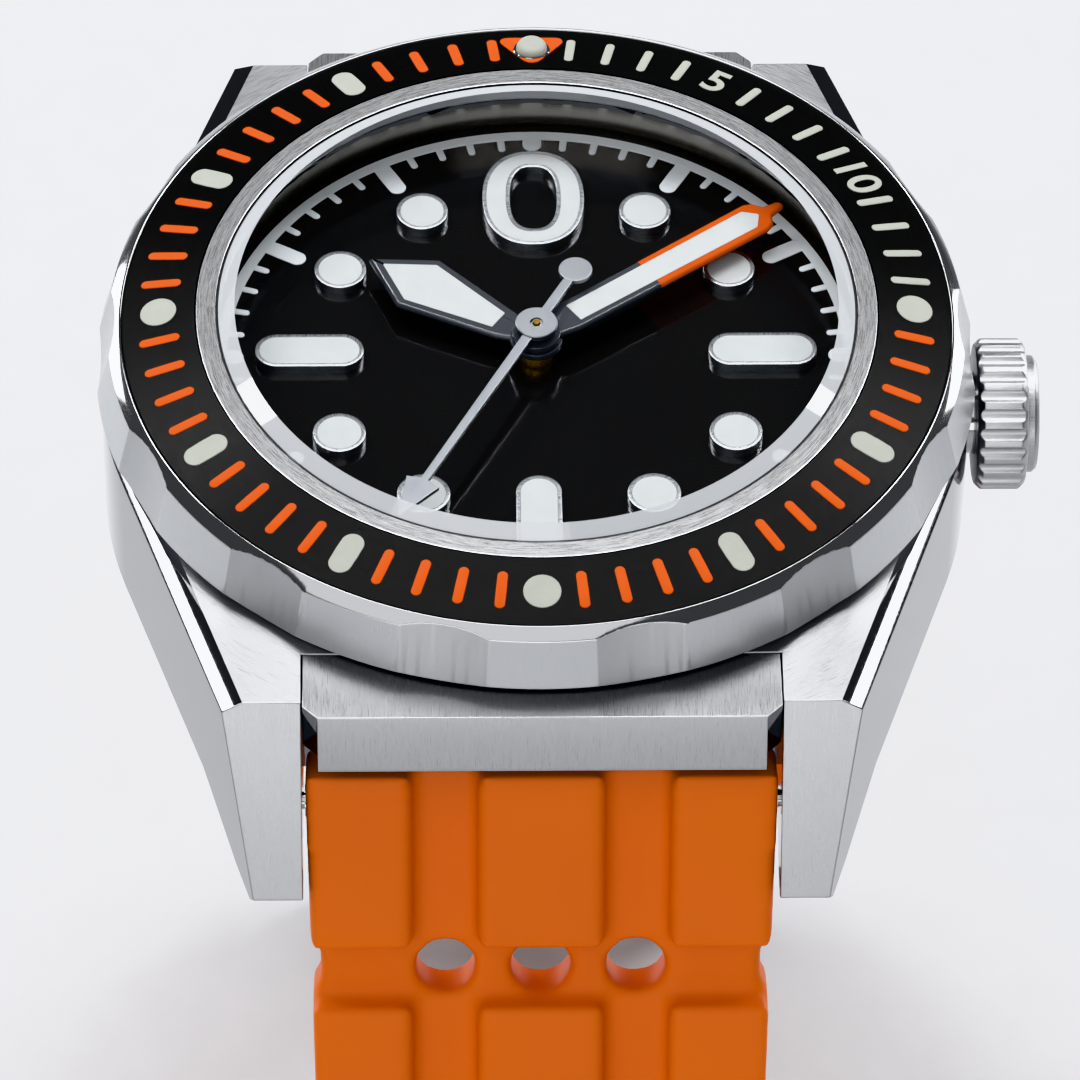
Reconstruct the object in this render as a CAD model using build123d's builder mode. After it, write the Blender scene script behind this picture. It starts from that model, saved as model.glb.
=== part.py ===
from build123d import *
from math import atan2, cos, degrees, radians, sin
import os

# A mechanical dive watch, millimetres. Origin at the centre of the case back's outer face,
# +Z out through the dial, +Y to 12 o'clock, +X to the crown at 3 o'clock.

os.makedirs("parts", exist_ok=True)

# Fits
RUN = 0.05  # radial clearance of a running fit
LOOSE = 0.3  # clearance between soft or free pieces

# Radii, from the case's bore outwards
BORE_R = 16.05
NECK_R = BORE_R + 1.45
RIM_R = BORE_R - 0.01
INSERT_IN_R = RIM_R + 0.06
INSERT_R = INSERT_IN_R + 3.43
BEZEL_TOP_R = INSERT_R + 0.82
BEZEL_R = BEZEL_TOP_R + 0.5
CASE_R = BEZEL_R - 0.2
CRYSTAL_R = BORE_R - 1.05
DIAL_R = BORE_R - 0.15
BACK_R = BORE_R + 1.25
BACK_HOLLOW_R = BORE_R - 1.15

# Heights, from the case's deck up to the crystal and down to the dial
DECK_Z = 8.78
CASE_UNDER_Z = 0.9
BEZEL_UNDER_Z = DECK_Z + 0.47
BEZEL_TOP_Z = BEZEL_UNDER_Z + 2.9
INSERT_OUT_Z = BEZEL_TOP_Z + 0.27
INSERT_IN_Z = INSERT_OUT_Z + 0.725
INSERT_T = 0.7
NECK_STEP_Z = BEZEL_UNDER_Z + 1.75
RIM_Z = INSERT_IN_Z + 0.005
CRYSTAL_Z = RIM_Z - 0.9
CRYSTAL_T = 1.2
CRYSTAL_BEVEL = 0.5
GASKET_T = 0.1
REHAUT_TOP_Z = CRYSTAL_Z - 1.4
DIAL_Z = REHAUT_TOP_Z - 1.15
DIAL_T = 0.4

# Lugs and the room between them
LUG_GAP = 22.0
FLANK_SLOPE = 0.341  # how much X shrinks per mm of Y along a flank
EDGE_BEVEL = 0.42
EDGE_BEVEL_DROP = 0.97
LUG_WALL_Y = BORE_R + 1.95
BAR_Y = LUG_WALL_Y + 2.9
LUG_TOP_Y = BAR_Y + 0.06
LUG_TIP_Y = BAR_Y + 4.1
LUG_TIP_Z = -0.4
LUG_LOW_Z = -0.94
BLOCK_TOP_Y = BAR_Y + 0.96
BLOCK_FRONT_Y = BLOCK_TOP_Y + 0.97
BLOCK_UNDER_Z = DECK_Z - 2.68
BLOCK_BEVEL = 0.7

# Bezel details
SCALLOPS = 14
SCALLOP_TOOL_R = 4.85
SCALLOP_DEPTH = 0.6
SCALLOP_LEAN = 0.05
PEARL_R = 0.75
PEARL_AT_R = (INSERT_IN_R + INSERT_R) / 2 - 0.06
PEARL_SINK = 0.7
WIRE_Z = BEZEL_UNDER_Z + 0.55
WIRE_T = 0.4
SEAL_Z = WIRE_Z + 0.65
SEAL_T = 0.35

# Case back
BACK_LIP = CASE_UNDER_Z - 0.05
BACK_BOSS_Z = 2.4
BACK_FLOOR = 0.6
BACK_SEAL_R = BORE_R + 0.45
BACK_SEAL_W = 0.6

# Movement heights, up from the case back and down from the dial
MOVE_R = BORE_R - 3.05
PILLAR_R = MOVE_R - 1.4
SCREW_AT_R = (MOVE_R + PILLAR_R) / 2
BRIDGE_Z = BACK_BOSS_Z + 0.6
BRIDGE_T = 0.8
PLATE_TOP_Z = DIAL_Z - 1.8
PLATE_Z = PLATE_TOP_Z - 1.5
ARBOR_R = 0.15
JEWEL_R = 0.5
ROTOR_Z = BACK_FLOOR + 0.4
ROTOR_R = MOVE_R - 0.1
WHEEL_T = 0.25

# Crown and stem
STEM_Z = PLATE_Z - 0.77
CROWN_R = 3.62
CROWN_X = CASE_R + LOOSE
CROWN_KNURL_END = CROWN_X + 2.4
CROWN_END = CROWN_KNURL_END + 0.57
CROWN_BORE_END = CROWN_X + 1.65
CROWN_CAP_R = CROWN_R - 0.82
FLUTES = 24
TUBE_R = 1.9
CROWN_BORE_R = TUBE_R + 0.08
STEM_R = 0.55
STEM_IN_X = MOVE_R - 6.0

# Gear train: teeth and modules
CENTRE_TEETH, THIRD_PINION, CENTRE_M = 80, 10, 0.1111
THIRD_TEETH, FOURTH_PINION, THIRD_M = 75, 10, 0.1176
FOURTH_TEETH, ESCAPE_PINION, FOURTH_M = 70, 7, 0.13
BARREL_TEETH, CENTRE_PINION, BARREL_M = 72, 12, 0.14
CANNON_TEETH, MINUTE_TEETH, CANNON_M = 12, 36, 0.12
MINUTE_PINION, HOUR_TEETH, HOUR_M = 10, 40, 0.1152
THIRD_ANGLE = 60.0
ESCAPE_ANGLE = -60.0
BARREL_ANGLE = 150.0
MINUTE_ANGLE = -20.0
BALANCE_AT = (-2.2, -7.0)
BALANCE_R = 4.0
PALLET_AT = (0.6, -5.95)

# Hands: heights, clock angles in degrees and lengths
HOUR_HAND_Z = DIAL_Z + 1.0
MINUTE_HAND_Z = HOUR_HAND_Z + 0.4
SECONDS_HAND_Z = MINUTE_HAND_Z + 0.65
HAND_T = 0.22
HOUR_ANGLE, MINUTE_HAND_ANGLE, SECONDS_ANGLE = 304.5, 54.0, 208.0
HOUR_PIPE_R = 0.8
CANNON_R = 0.5
LUME_T = 0.1
MARKER_T = 0.45
MARKER_R = DIAL_R - 5.17

# Strap, spring bars and buckle. Distances along the strap start at the spring bar.
BAR_Z = 1.9
BAR_R = 0.75
BAR_TIP_R = 0.4
STRAP_HOLE_R = BAR_R + 0.07
STRAP_W = LUG_GAP - 0.2
STRAP_END_W = STRAP_W - 2.2
STRAP_TAPER_S = 48.0
STRAP_HEAD = 2.29
STRAP_IN = -1.5
STRAP_BASE = 1.08
STRAP_TOP = 2.33
ROW_1 = 9.0
ROW_LENGTH = 8.6
ROW_GAP = 3.1
COLUMN_MID = 5.9
GROOVE_W = 3.0
VENT_R = 1.4
VENT_X = 4.43
STRAIGHT = 11.0
LEAN = 68.0
PATH_6 = [(STRAIGHT, LEAN, LEAN), (47.1, LEAN, 98.0), (18.6, 98.0, 180.0), (35.3, 180.0, 180.0)]
PATH_12 = [(STRAIGHT, LEAN, LEAN), (59.4, LEAN, 105.0)]
ROWS_6, ROWS_12 = 4, 4
BUCKLE_S = 59.0
BUCKLE_IN_X = STRAP_END_W / 2 + LOOSE
BUCKLE_ARM = 1.9
BUCKLE_T = 2.0
TONGUE_W = 2.6
KEEPER_W = 4.0
KEEPER_WALL = 1.3
FIXED_KEEPER_S = 45.0
FREE_KEEPER_S = FIXED_KEEPER_S + KEEPER_W + 2.5


# Helpers that add to the part or sketch being built


def disc(outer, inner, low, high, centre=(0, 0), mode=Mode.ADD):
    """A flat ring between two heights; inner 0 makes a plain disc."""
    with BuildSketch(Plane.XY.offset(low)) as face:
        with Locations(centre):
            Circle(outer)
            if inner:
                Circle(inner, mode=Mode.SUBTRACT)
    extrude(face.sketch, amount=high - low, mode=mode)


def turned(points):
    """A solid of revolution about Z from its section in (radius, height)."""
    with BuildSketch(Plane.XZ) as section:
        Polygon(*points, align=None)
    revolve(section.sketch, axis=Axis.Z)


def flat_shape(points, low, high, mode=Mode.ADD):
    """A flat polygon between two heights."""
    with BuildSketch(Plane.XY.offset(low)) as face:
        Polygon(*points, align=None)
    extrude(face.sketch, amount=high - low, mode=mode)


def polar(radius, angle):
    """A point from its radius and its angle in degrees from +X."""
    return (radius * cos(radians(angle)), radius * sin(radians(angle)))


def around(centre, radius, angle):
    """A point at a radius and angle about another point."""
    offset_x, offset_y = polar(radius, angle)
    return (centre[0] + offset_x, centre[1] + offset_y)


def by_clock(angle, along, across):
    """A point on a hand: along its length and to its right, for a clock angle from 12."""
    turn = radians(angle)
    return (along * sin(turn) + across * cos(turn), along * cos(turn) - across * sin(turn))


def gear(teeth, module, low, high, centre, first_tooth, bore=0.0, windows=0):
    """A toothed wheel with a tooth centred on the angle first_tooth."""
    pitch_r = module * teeth / 2
    root_r = pitch_r - 1.1 * module
    tip_r = pitch_r + 0.85 * module
    step = 360 / teeth
    outline = []
    for number in range(teeth):
        middle = first_tooth + number * step
        outline.append(around(centre, root_r, middle - 0.28 * step))
        outline.append(around(centre, tip_r, middle - 0.12 * step))
        outline.append(around(centre, tip_r, middle + 0.12 * step))
        outline.append(around(centre, root_r, middle + 0.28 * step))
    with BuildSketch(Plane.XY.offset(low)) as face:
        Polygon(*outline, align=None)
        with Locations(centre):
            if bore:
                Circle(bore, mode=Mode.SUBTRACT)
            if windows:
                with PolarLocations(0.56 * pitch_r, windows):
                    Circle(0.24 * pitch_r, mode=Mode.SUBTRACT)
    extrude(face.sketch, amount=high - low)


def save(part, name):
    """Label a finished piece and write it to its file."""
    part.label = name
    export_step(part, f"parts/{name}.step")


def gap_angle(teeth, facing):
    """The first tooth's angle that puts a gap at the angle facing."""
    return facing + 180 / teeth


# Train geometry worked out from the teeth
THIRD_DISTANCE = CENTRE_M * (CENTRE_TEETH + THIRD_PINION) / 2
ESCAPE_DISTANCE = FOURTH_M * (FOURTH_TEETH + ESCAPE_PINION) / 2
BARREL_DISTANCE = BARREL_M * (BARREL_TEETH + CENTRE_PINION) / 2
MINUTE_DISTANCE = CANNON_M * (CANNON_TEETH + MINUTE_TEETH) / 2
THIRD_AT = polar(THIRD_DISTANCE, THIRD_ANGLE)
ESCAPE_AT = polar(ESCAPE_DISTANCE, ESCAPE_ANGLE)
BARREL_AT = polar(BARREL_DISTANCE, BARREL_ANGLE)
MINUTE_AT = polar(MINUTE_DISTANCE, MINUTE_ANGLE)
PIVOTS = [THIRD_AT, ESCAPE_AT]
CENTRE_ARBOR_R = 0.32
SECONDS_BORE_R = ARBOR_R + 0.04
BRIDGE_TOP_Z = BRIDGE_Z + BRIDGE_T


# ---------------------------------------------------------------- case

flank_top = polar(CASE_R, degrees(atan2(FLANK_SLOPE, 1)))
plan_y = LUG_TIP_Y + 0.5
plan_x = flank_top[0] - FLANK_SLOPE * (plan_y - flank_top[1])
lug_side = [
    (0, DECK_Z),
    (LUG_TOP_Y, DECK_Z),
    (LUG_TIP_Y, LUG_TIP_Z),
    (LUG_TIP_Y - 0.5, LUG_LOW_Z),
    (LUG_TIP_Y - 2.5, LUG_LOW_Z + 0.3),
    (LUG_WALL_Y, CASE_UNDER_Z),
    (0, CASE_UNDER_Z),
]

with BuildPart() as mid_case:
    with BuildSketch(Plane.XY.offset(LUG_LOW_Z)):
        Circle(CASE_R)
        Polygon(
            (flank_top[0], flank_top[1]),
            (plan_x, plan_y),
            (-plan_x, plan_y),
            (-flank_top[0], flank_top[1]),
            (-flank_top[0], -flank_top[1]),
            (-plan_x, -plan_y),
            (plan_x, -plan_y),
            (flank_top[0], -flank_top[1]),
            align=None,
        )
    extrude(amount=DECK_Z - LUG_LOW_Z)
    deck_edges = mid_case.edges().group_by(Axis.Z)[-1]
    flank_edges = deck_edges.filter_by(
        lambda edge: abs(edge.tangent_at(0.5).Y) > 0.9 and abs(edge.center().X) > 10
    )
    chamfer(flank_edges, length=EDGE_BEVEL, length2=EDGE_BEVEL_DROP)
    with BuildSketch(Plane.YZ):
        Polygon(*lug_side, align=None)
        Polygon(*[(-y, z) for y, z in reversed(lug_side)], align=None)
    extrude(amount=CASE_R + 1, both=True, mode=Mode.INTERSECT)
    # The room between the lugs, for the strap ends and the steel blocks
    for side in (1, -1):
        with BuildSketch(Plane.XY.offset(LUG_LOW_Z - 1)):
            with Locations((0, side * (LUG_WALL_Y + 5))):
                Rectangle(LUG_GAP, 10)
        extrude(amount=DECK_Z + 3, mode=Mode.SUBTRACT)
    disc(NECK_R, 0, DECK_Z - 0.5, NECK_STEP_Z)
    disc(RIM_R, 0, NECK_STEP_Z - 0.1, RIM_Z)
    disc(BORE_R, 0, CASE_UNDER_Z, REHAUT_TOP_Z, mode=Mode.SUBTRACT)
    # The seat under the crystal narrows inwards, and the crystal's own bore is above it
    with BuildSketch(Plane.XZ):
        Polygon(
            (0, REHAUT_TOP_Z - 0.01),
            (CRYSTAL_R + 0.45, REHAUT_TOP_Z - 0.01),
            (CRYSTAL_R - 0.1, CRYSTAL_Z),
            (CRYSTAL_R + GASKET_T, CRYSTAL_Z),
            (CRYSTAL_R + GASKET_T, RIM_Z + 0.1),
            (0, RIM_Z + 0.1),
            align=None,
        )
    revolve(axis=Axis.Z, mode=Mode.SUBTRACT)
    # Grooves for the bezel's retaining wire and gasket and for the case back's gasket
    disc(NECK_R + 1, NECK_R - 0.5, WIRE_Z, WIRE_Z + WIRE_T, mode=Mode.SUBTRACT)
    disc(NECK_R + 1, NECK_R - 0.35, SEAL_Z, SEAL_Z + SEAL_T, mode=Mode.SUBTRACT)
    disc(BACK_SEAL_R + BACK_SEAL_W, BACK_SEAL_R, CASE_UNDER_Z, CASE_UNDER_Z + 0.3, mode=Mode.SUBTRACT)
    # Hole for the crown tube and the four spring bar holes
    with BuildSketch(Plane.YZ.offset(BORE_R - 1)):
        with Locations((0, STEM_Z)):
            Circle(TUBE_R)
    extrude(amount=CASE_R, mode=Mode.SUBTRACT)
    for side in (1, -1):
        with BuildSketch(Plane.YZ):
            with Locations((side * BAR_Y, BAR_Z)):
                Circle(BAR_TIP_R + 0.03)
        extrude(amount=LUG_GAP / 2 + 1.3, both=True, mode=Mode.SUBTRACT)
save(mid_case.part, "mid_case")


def lug_block(side):
    """The steel block between one pair of lugs; its ends are bevelled at 45 degrees."""
    half = LUG_GAP / 2 - RUN
    bevel = BLOCK_BEVEL
    top_y, front_y = BLOCK_TOP_Y, BLOCK_FRONT_Y
    with BuildPart() as block:
        with BuildSketch(Plane.YZ):
            Polygon(
                (side * (LUG_WALL_Y + 0.02), BLOCK_UNDER_Z),
                (side * (LUG_WALL_Y + 0.02), DECK_Z - 0.06),
                (side * top_y, DECK_Z - 0.06),
                (side * front_y, BLOCK_UNDER_Z + 0.2),
                (side * front_y, BLOCK_UNDER_Z),
                align=None,
            )
        extrude(amount=half, both=True)
        with BuildSketch(Plane.XY):
            Polygon(
                (-half, side * LUG_WALL_Y),
                (half, side * LUG_WALL_Y),
                (half, side * (top_y - bevel)),
                (half - bevel, side * top_y),
                (half - bevel, side * (front_y + 1)),
                (bevel - half, side * (front_y + 1)),
                (bevel - half, side * top_y),
                (-half, side * (top_y - bevel)),
                align=None,
            )
        extrude(amount=DECK_Z, mode=Mode.INTERSECT)
    return block.part


save(lug_block(-1), "lug_block_6")
save(lug_block(1), "lug_block_12")

with BuildPart() as case_back:
    disc(BACK_R, 0, 0, BACK_LIP)
    disc(BORE_R - RUN, 0, BACK_LIP, BACK_BOSS_Z)
    disc(BACK_HOLLOW_R, 0, BACK_FLOOR, BACK_BOSS_Z, mode=Mode.SUBTRACT)
    # Six wrench notches in the rim
    with BuildSketch(Plane.XY):
        with PolarLocations(BACK_R, 6, start_angle=30):
            SlotOverall(3.2, 2.0)
    extrude(amount=0.5, mode=Mode.SUBTRACT)
    bottom_rim = case_back.edges().filter_by(GeomType.CIRCLE).group_by(Axis.Z)[0].sort_by(SortBy.RADIUS)[-6:]
    chamfer(bottom_rim, 0.25)
save(case_back.part, "case_back")

with BuildPart() as case_back_gasket:
    disc(BACK_SEAL_R + BACK_SEAL_W - RUN, BACK_SEAL_R + RUN, BACK_LIP, CASE_UNDER_Z + 0.28)
save(case_back_gasket.part, "case_back_gasket")

with BuildPart() as crown_tube:
    with BuildSketch(Plane.YZ.offset(BORE_R + 0.3)):
        with Locations((0, STEM_Z)):
            Circle(TUBE_R)
            Circle(STEM_R + 0.07, mode=Mode.SUBTRACT)
    extrude(amount=CROWN_BORE_END - 0.3 - BORE_R - 0.3)
save(crown_tube.part, "crown_tube")

# ---------------------------------------------------------------- crystal, flange and dial

with BuildPart() as crystal:
    disc(CRYSTAL_R, 0, CRYSTAL_Z, CRYSTAL_Z + CRYSTAL_T)
    chamfer(crystal.edges().group_by(Axis.Z)[-1], CRYSTAL_BEVEL)
save(crystal.part, "crystal")

with BuildPart() as crystal_gasket:
    disc(CRYSTAL_R + GASKET_T, CRYSTAL_R, CRYSTAL_Z, RIM_Z - 0.15)
save(crystal_gasket.part, "crystal_gasket")

with BuildPart() as rehaut_ring:
    turned(
        [
            (BORE_R - RUN, DIAL_Z),
            (BORE_R - RUN, REHAUT_TOP_Z),
            (CRYSTAL_R + 0.45, REHAUT_TOP_Z),
            (DIAL_R - 0.15, DIAL_Z),
        ]
    )
save(rehaut_ring.part, "rehaut_ring")

with BuildPart() as dial:
    disc(DIAL_R, HOUR_PIPE_R + 0.15, DIAL_Z - DIAL_T, DIAL_Z)
    for angle in (75, 255):
        disc(0.35, 0, PLATE_TOP_Z - 1, DIAL_Z - DIAL_T, centre=polar(SCREW_AT_R, angle))
save(dial.part, "dial")

DOT_HOURS = (1, 2, 4, 5, 7, 8, 10, 11)
DOT_R = 1.25
BATON_LENGTH, BATON_W = 5.15, 2.14
FRAME_W = 0.2
ZERO_W, ZERO_H, ZERO_AT = 4.93, 6.4, 10.2
ZERO_OPEN_W, ZERO_OPEN_H = 2.24, 4.2


def markers(shrink):
    """All twelve hour marks, each set in by shrink, in the active sketch."""
    for hour in DOT_HOURS:
        with Locations(polar(MARKER_R, 90 - 30 * hour)):
            Circle(DOT_R - shrink)
    for hour in (3, 6, 9):
        with Locations(Location((*polar(MARKER_R, 90 - 30 * hour), 0), 90 - 30 * hour)):
            SlotOverall(BATON_LENGTH - 2 * shrink, BATON_W - 2 * shrink)
    with Locations((0, ZERO_AT)):
        Ellipse(ZERO_W / 2 - shrink, ZERO_H / 2 - shrink)
        SlotOverall(ZERO_OPEN_H + 2 * shrink, ZERO_OPEN_W + 2 * shrink, rotation=90, mode=Mode.SUBTRACT)


with BuildPart() as hour_markers:
    with BuildSketch(Plane.XY.offset(DIAL_Z)):
        markers(0)
    extrude(amount=MARKER_T)
    with BuildSketch(Plane.XY.offset(DIAL_Z + MARKER_T - LUME_T)):
        markers(FRAME_W)
    extrude(amount=LUME_T, mode=Mode.SUBTRACT)
save(hour_markers.part, "hour_markers")

with BuildPart() as marker_lume:
    with BuildSketch(Plane.XY.offset(DIAL_Z + MARKER_T - LUME_T)):
        markers(FRAME_W)
    extrude(amount=LUME_T * 0.7)
save(marker_lume.part, "marker_lume")

# ---------------------------------------------------------------- bezel

with BuildPart() as bezel_ring:
    turned(
        [
            (NECK_R + RUN, BEZEL_UNDER_Z),
            (BEZEL_R, BEZEL_UNDER_Z),
            (BEZEL_TOP_R, BEZEL_TOP_Z),
            (INSERT_R + 0.12, INSERT_OUT_Z + 0.06),
            (INSERT_R + 0.02, INSERT_OUT_Z),
            (INSERT_R + 0.02, INSERT_OUT_Z - INSERT_T),
            (RIM_R + 0.06, INSERT_IN_Z - INSERT_T),
            (RIM_R + 0.06, NECK_STEP_Z + 0.06),
            (NECK_R + RUN, NECK_STEP_Z + 0.06),
        ]
    )
    disc(NECK_R + 0.5, 0, WIRE_Z - 0.02, WIRE_Z + WIRE_T + 0.02, mode=Mode.SUBTRACT)
    # Concave finger scallops; the wall's own lean gives each an arched top
    tool_r = BEZEL_R + SCALLOP_TOOL_R - SCALLOP_DEPTH
    for number in range(SCALLOPS):
        angle = 360 * number / SCALLOPS
        tool_plane = Plane(
            origin=(*polar(tool_r, angle), BEZEL_UNDER_Z),
            z_dir=(*polar(SCALLOP_LEAN, angle), 1),
        )
        with BuildSketch(tool_plane):
            Circle(SCALLOP_TOOL_R)
        extrude(amount=3.5, both=True, mode=Mode.SUBTRACT)
save(bezel_ring.part, "bezel_ring")

with BuildPart() as bezel_insert:
    turned(
        [
            (INSERT_IN_R, INSERT_IN_Z - INSERT_T + 0.02),
            (INSERT_R, INSERT_OUT_Z - INSERT_T + 0.02),
            (INSERT_R, INSERT_OUT_Z),
            (INSERT_IN_R, INSERT_IN_Z),
        ]
    )
    disc(PEARL_R, 0, RIM_Z - PEARL_SINK, RIM_Z + 1, centre=(0, PEARL_AT_R), mode=Mode.SUBTRACT)
save(bezel_insert.part, "bezel_insert")

with BuildPart() as bezel_pearl:
    disc(PEARL_R, 0, RIM_Z - PEARL_SINK, RIM_Z + 0.1, centre=(0, PEARL_AT_R))
    fillet(bezel_pearl.edges().group_by(Axis.Z)[-1], 0.35)
save(bezel_pearl.part, "bezel_pearl")

with BuildPart() as bezel_spring:
    disc(NECK_R + 0.35, NECK_R - 0.42, WIRE_Z + RUN, WIRE_Z + WIRE_T - RUN)
    with BuildSketch(Plane.XY.offset(WIRE_Z)):
        with Locations((-NECK_R, 0)):
            Rectangle(3, 2.4)
    extrude(amount=1, mode=Mode.SUBTRACT)
save(bezel_spring.part, "bezel_spring")

with BuildPart() as bezel_gasket:
    disc(NECK_R, NECK_R - 0.33, SEAL_Z + 0.02, SEAL_Z + SEAL_T - 0.02)
save(bezel_gasket.part, "bezel_gasket")

# ---------------------------------------------------------------- crown and stem

with BuildPart() as crown:
    with BuildSketch(Plane.YZ.offset(CROWN_X)):
        with Locations((0, STEM_Z)):
            Circle(CROWN_R)
    extrude(amount=CROWN_KNURL_END - CROWN_X)
    chamfer(crown.edges(), 0.3)
    with BuildSketch(Plane.YZ.offset(CROWN_KNURL_END)):
        with Locations((0, STEM_Z)):
            Circle(CROWN_CAP_R)
    extrude(amount=CROWN_END - CROWN_KNURL_END)
    chamfer(crown.edges().group_by(Axis.X)[-1], 0.2)
    with BuildSketch(Plane.YZ.offset(CROWN_X - 0.1)):
        with Locations((0, STEM_Z)):
            with PolarLocations(CROWN_R + 0.12, FLUTES):
                Circle(0.32)
    extrude(amount=CROWN_KNURL_END - CROWN_X + 0.2, mode=Mode.SUBTRACT)
    with BuildSketch(Plane.YZ.offset(CROWN_X)):
        with Locations((0, STEM_Z)):
            Circle(CROWN_BORE_R)
    extrude(amount=CROWN_BORE_END - CROWN_X, mode=Mode.SUBTRACT)
save(crown.part, "crown")

with BuildPart() as crown_gasket:
    with BuildSketch(Plane.YZ.offset(CROWN_BORE_END - 0.25)):
        with Locations((0, STEM_Z)):
            Circle(CROWN_BORE_R)
            Circle(STEM_R, mode=Mode.SUBTRACT)
    extrude(amount=0.25)
save(crown_gasket.part, "crown_gasket")

with BuildPart() as stem:
    with BuildSketch(Plane.YZ.offset(STEM_IN_X)):
        with Locations((0, STEM_Z)):
            Circle(STEM_R)
    extrude(amount=CROWN_BORE_END - STEM_IN_X)
save(stem.part, "stem")


def stem_pinion(start, length, teeth):
    """A small pinion that turns with the stem and lets it slide through."""
    with BuildPart() as pinion:
        with BuildSketch(Plane.YZ.offset(start)):
            with Locations((0, STEM_Z)):
                Circle(0.73)
                with PolarLocations(0.73, teeth):
                    Circle(0.1, mode=Mode.SUBTRACT)
                Circle(STEM_R + 0.05, mode=Mode.SUBTRACT)
        extrude(amount=length)
    return pinion.part


WINDING_PINION_X = PILLAR_R - 1.4
save(stem_pinion(WINDING_PINION_X - 0.9, 0.9, 12), "sliding_pinion")
save(stem_pinion(WINDING_PINION_X, 1.0, 12), "winding_pinion")

# ---------------------------------------------------------------- movement frame

with BuildPart() as movement_ring:
    disc(BORE_R - 0.1, MOVE_R + 0.05, BACK_BOSS_Z + 0.05, DIAL_Z - DIAL_T)
    with BuildSketch(Plane.YZ):
        with Locations((0, STEM_Z)):
            Circle(TUBE_R)
    extrude(amount=CASE_R, mode=Mode.SUBTRACT)
save(movement_ring.part, "movement_ring")

SCREW_ANGLES = (20, 70, 130, 175, 215, 310)
COCK_SCREW_ANGLE = 252.5

SCREW_R = 0.35
SCREW_HEAD_R = 0.6
POST_R = 0.25

with BuildPart() as mainplate:
    disc(MOVE_R, 0, PLATE_Z, PLATE_TOP_Z)
    disc(MOVE_R, PILLAR_R, BRIDGE_TOP_Z, PLATE_Z)
    disc(CENTRE_ARBOR_R + 0.04, 0, PLATE_Z - 0.1, PLATE_TOP_Z + 0.1, mode=Mode.SUBTRACT)
    for pivot in PIVOTS + [BALANCE_AT, PALLET_AT]:
        disc(JEWEL_R, 0, PLATE_Z - 0.1, PLATE_Z + 0.6, centre=pivot, mode=Mode.SUBTRACT)
        disc(ARBOR_R + 0.04, 0, PLATE_Z, PLATE_Z + 0.9, centre=pivot, mode=Mode.SUBTRACT)
    disc(JEWEL_R + 0.05, 0, PLATE_Z - 0.1, PLATE_Z + 0.7, centre=BARREL_AT, mode=Mode.SUBTRACT)
    for angle in (75, 255):
        place = polar(SCREW_AT_R, angle)
        disc(0.4, 0, PLATE_TOP_Z - 1.05, PLATE_TOP_Z + 0.1, centre=place, mode=Mode.SUBTRACT)
    for angle in SCREW_ANGLES + (COCK_SCREW_ANGLE,):
        place = polar(SCREW_AT_R, angle)
        disc(SCREW_R, 0, BRIDGE_TOP_Z - 0.1, BRIDGE_TOP_Z + 1.2, centre=place, mode=Mode.SUBTRACT)
    with BuildSketch(Plane.YZ.offset(PILLAR_R - 1)):
        with Locations((0, STEM_Z)):
            Circle(STEM_R + 0.07)
    extrude(amount=3, mode=Mode.SUBTRACT)
    disc(POST_R, 0, PLATE_TOP_Z - 0.1, PLATE_TOP_Z + 1, centre=MINUTE_AT)
save(mainplate.part, "mainplate")


def cock_outline(grow):
    """The balance cock's plan, from the balance out over the edge of the plate, in the active sketch."""
    reach = MOVE_R + 1
    turn = radians(COCK_SCREW_ANGLE)
    across = (-sin(turn) * (1.7 + grow), cos(turn) * (1.7 + grow))
    far = polar(reach, COCK_SCREW_ANGLE)
    Polygon(
        (BALANCE_AT[0] + across[0], BALANCE_AT[1] + across[1]),
        (far[0] + across[0], far[1] + across[1]),
        (far[0] - across[0], far[1] - across[1]),
        (BALANCE_AT[0] - across[0], BALANCE_AT[1] - across[1]),
        align=None,
    )
    with Locations(BALANCE_AT):
        Circle(1.7 + grow)


with BuildPart() as train_bridge:
    disc(MOVE_R, 0, BRIDGE_Z, BRIDGE_TOP_Z)
    disc(BALANCE_R + 0.5, 0, BRIDGE_Z, BRIDGE_TOP_Z, centre=BALANCE_AT, mode=Mode.SUBTRACT)
    with BuildSketch(Plane.XY.offset(BRIDGE_Z)):
        cock_outline(0.15)
    extrude(amount=BRIDGE_T, mode=Mode.SUBTRACT)
    for pivot in PIVOTS + [(0, 0)]:
        disc(JEWEL_R, 0, BRIDGE_Z, BRIDGE_TOP_Z, centre=pivot, mode=Mode.SUBTRACT)
    disc(JEWEL_R + 0.05, 0, BRIDGE_Z, BRIDGE_TOP_Z, centre=BARREL_AT, mode=Mode.SUBTRACT)
    for angle in SCREW_ANGLES:
        disc(SCREW_R, 0, BRIDGE_Z, BRIDGE_TOP_Z, centre=polar(SCREW_AT_R, angle), mode=Mode.SUBTRACT)
save(train_bridge.part, "train_bridge")

with BuildPart() as balance_cock:
    with BuildSketch(Plane.XY.offset(BRIDGE_Z)):
        cock_outline(0)
        Circle(MOVE_R, mode=Mode.INTERSECT)
    extrude(amount=BRIDGE_T)
    disc(JEWEL_R, 0, BRIDGE_Z, BRIDGE_TOP_Z, centre=BALANCE_AT, mode=Mode.SUBTRACT)
    disc(SCREW_R, 0, BRIDGE_Z, BRIDGE_TOP_Z, centre=polar(SCREW_AT_R, COCK_SCREW_ANGLE), mode=Mode.SUBTRACT)
save(balance_cock.part, "balance_cock")

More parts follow.
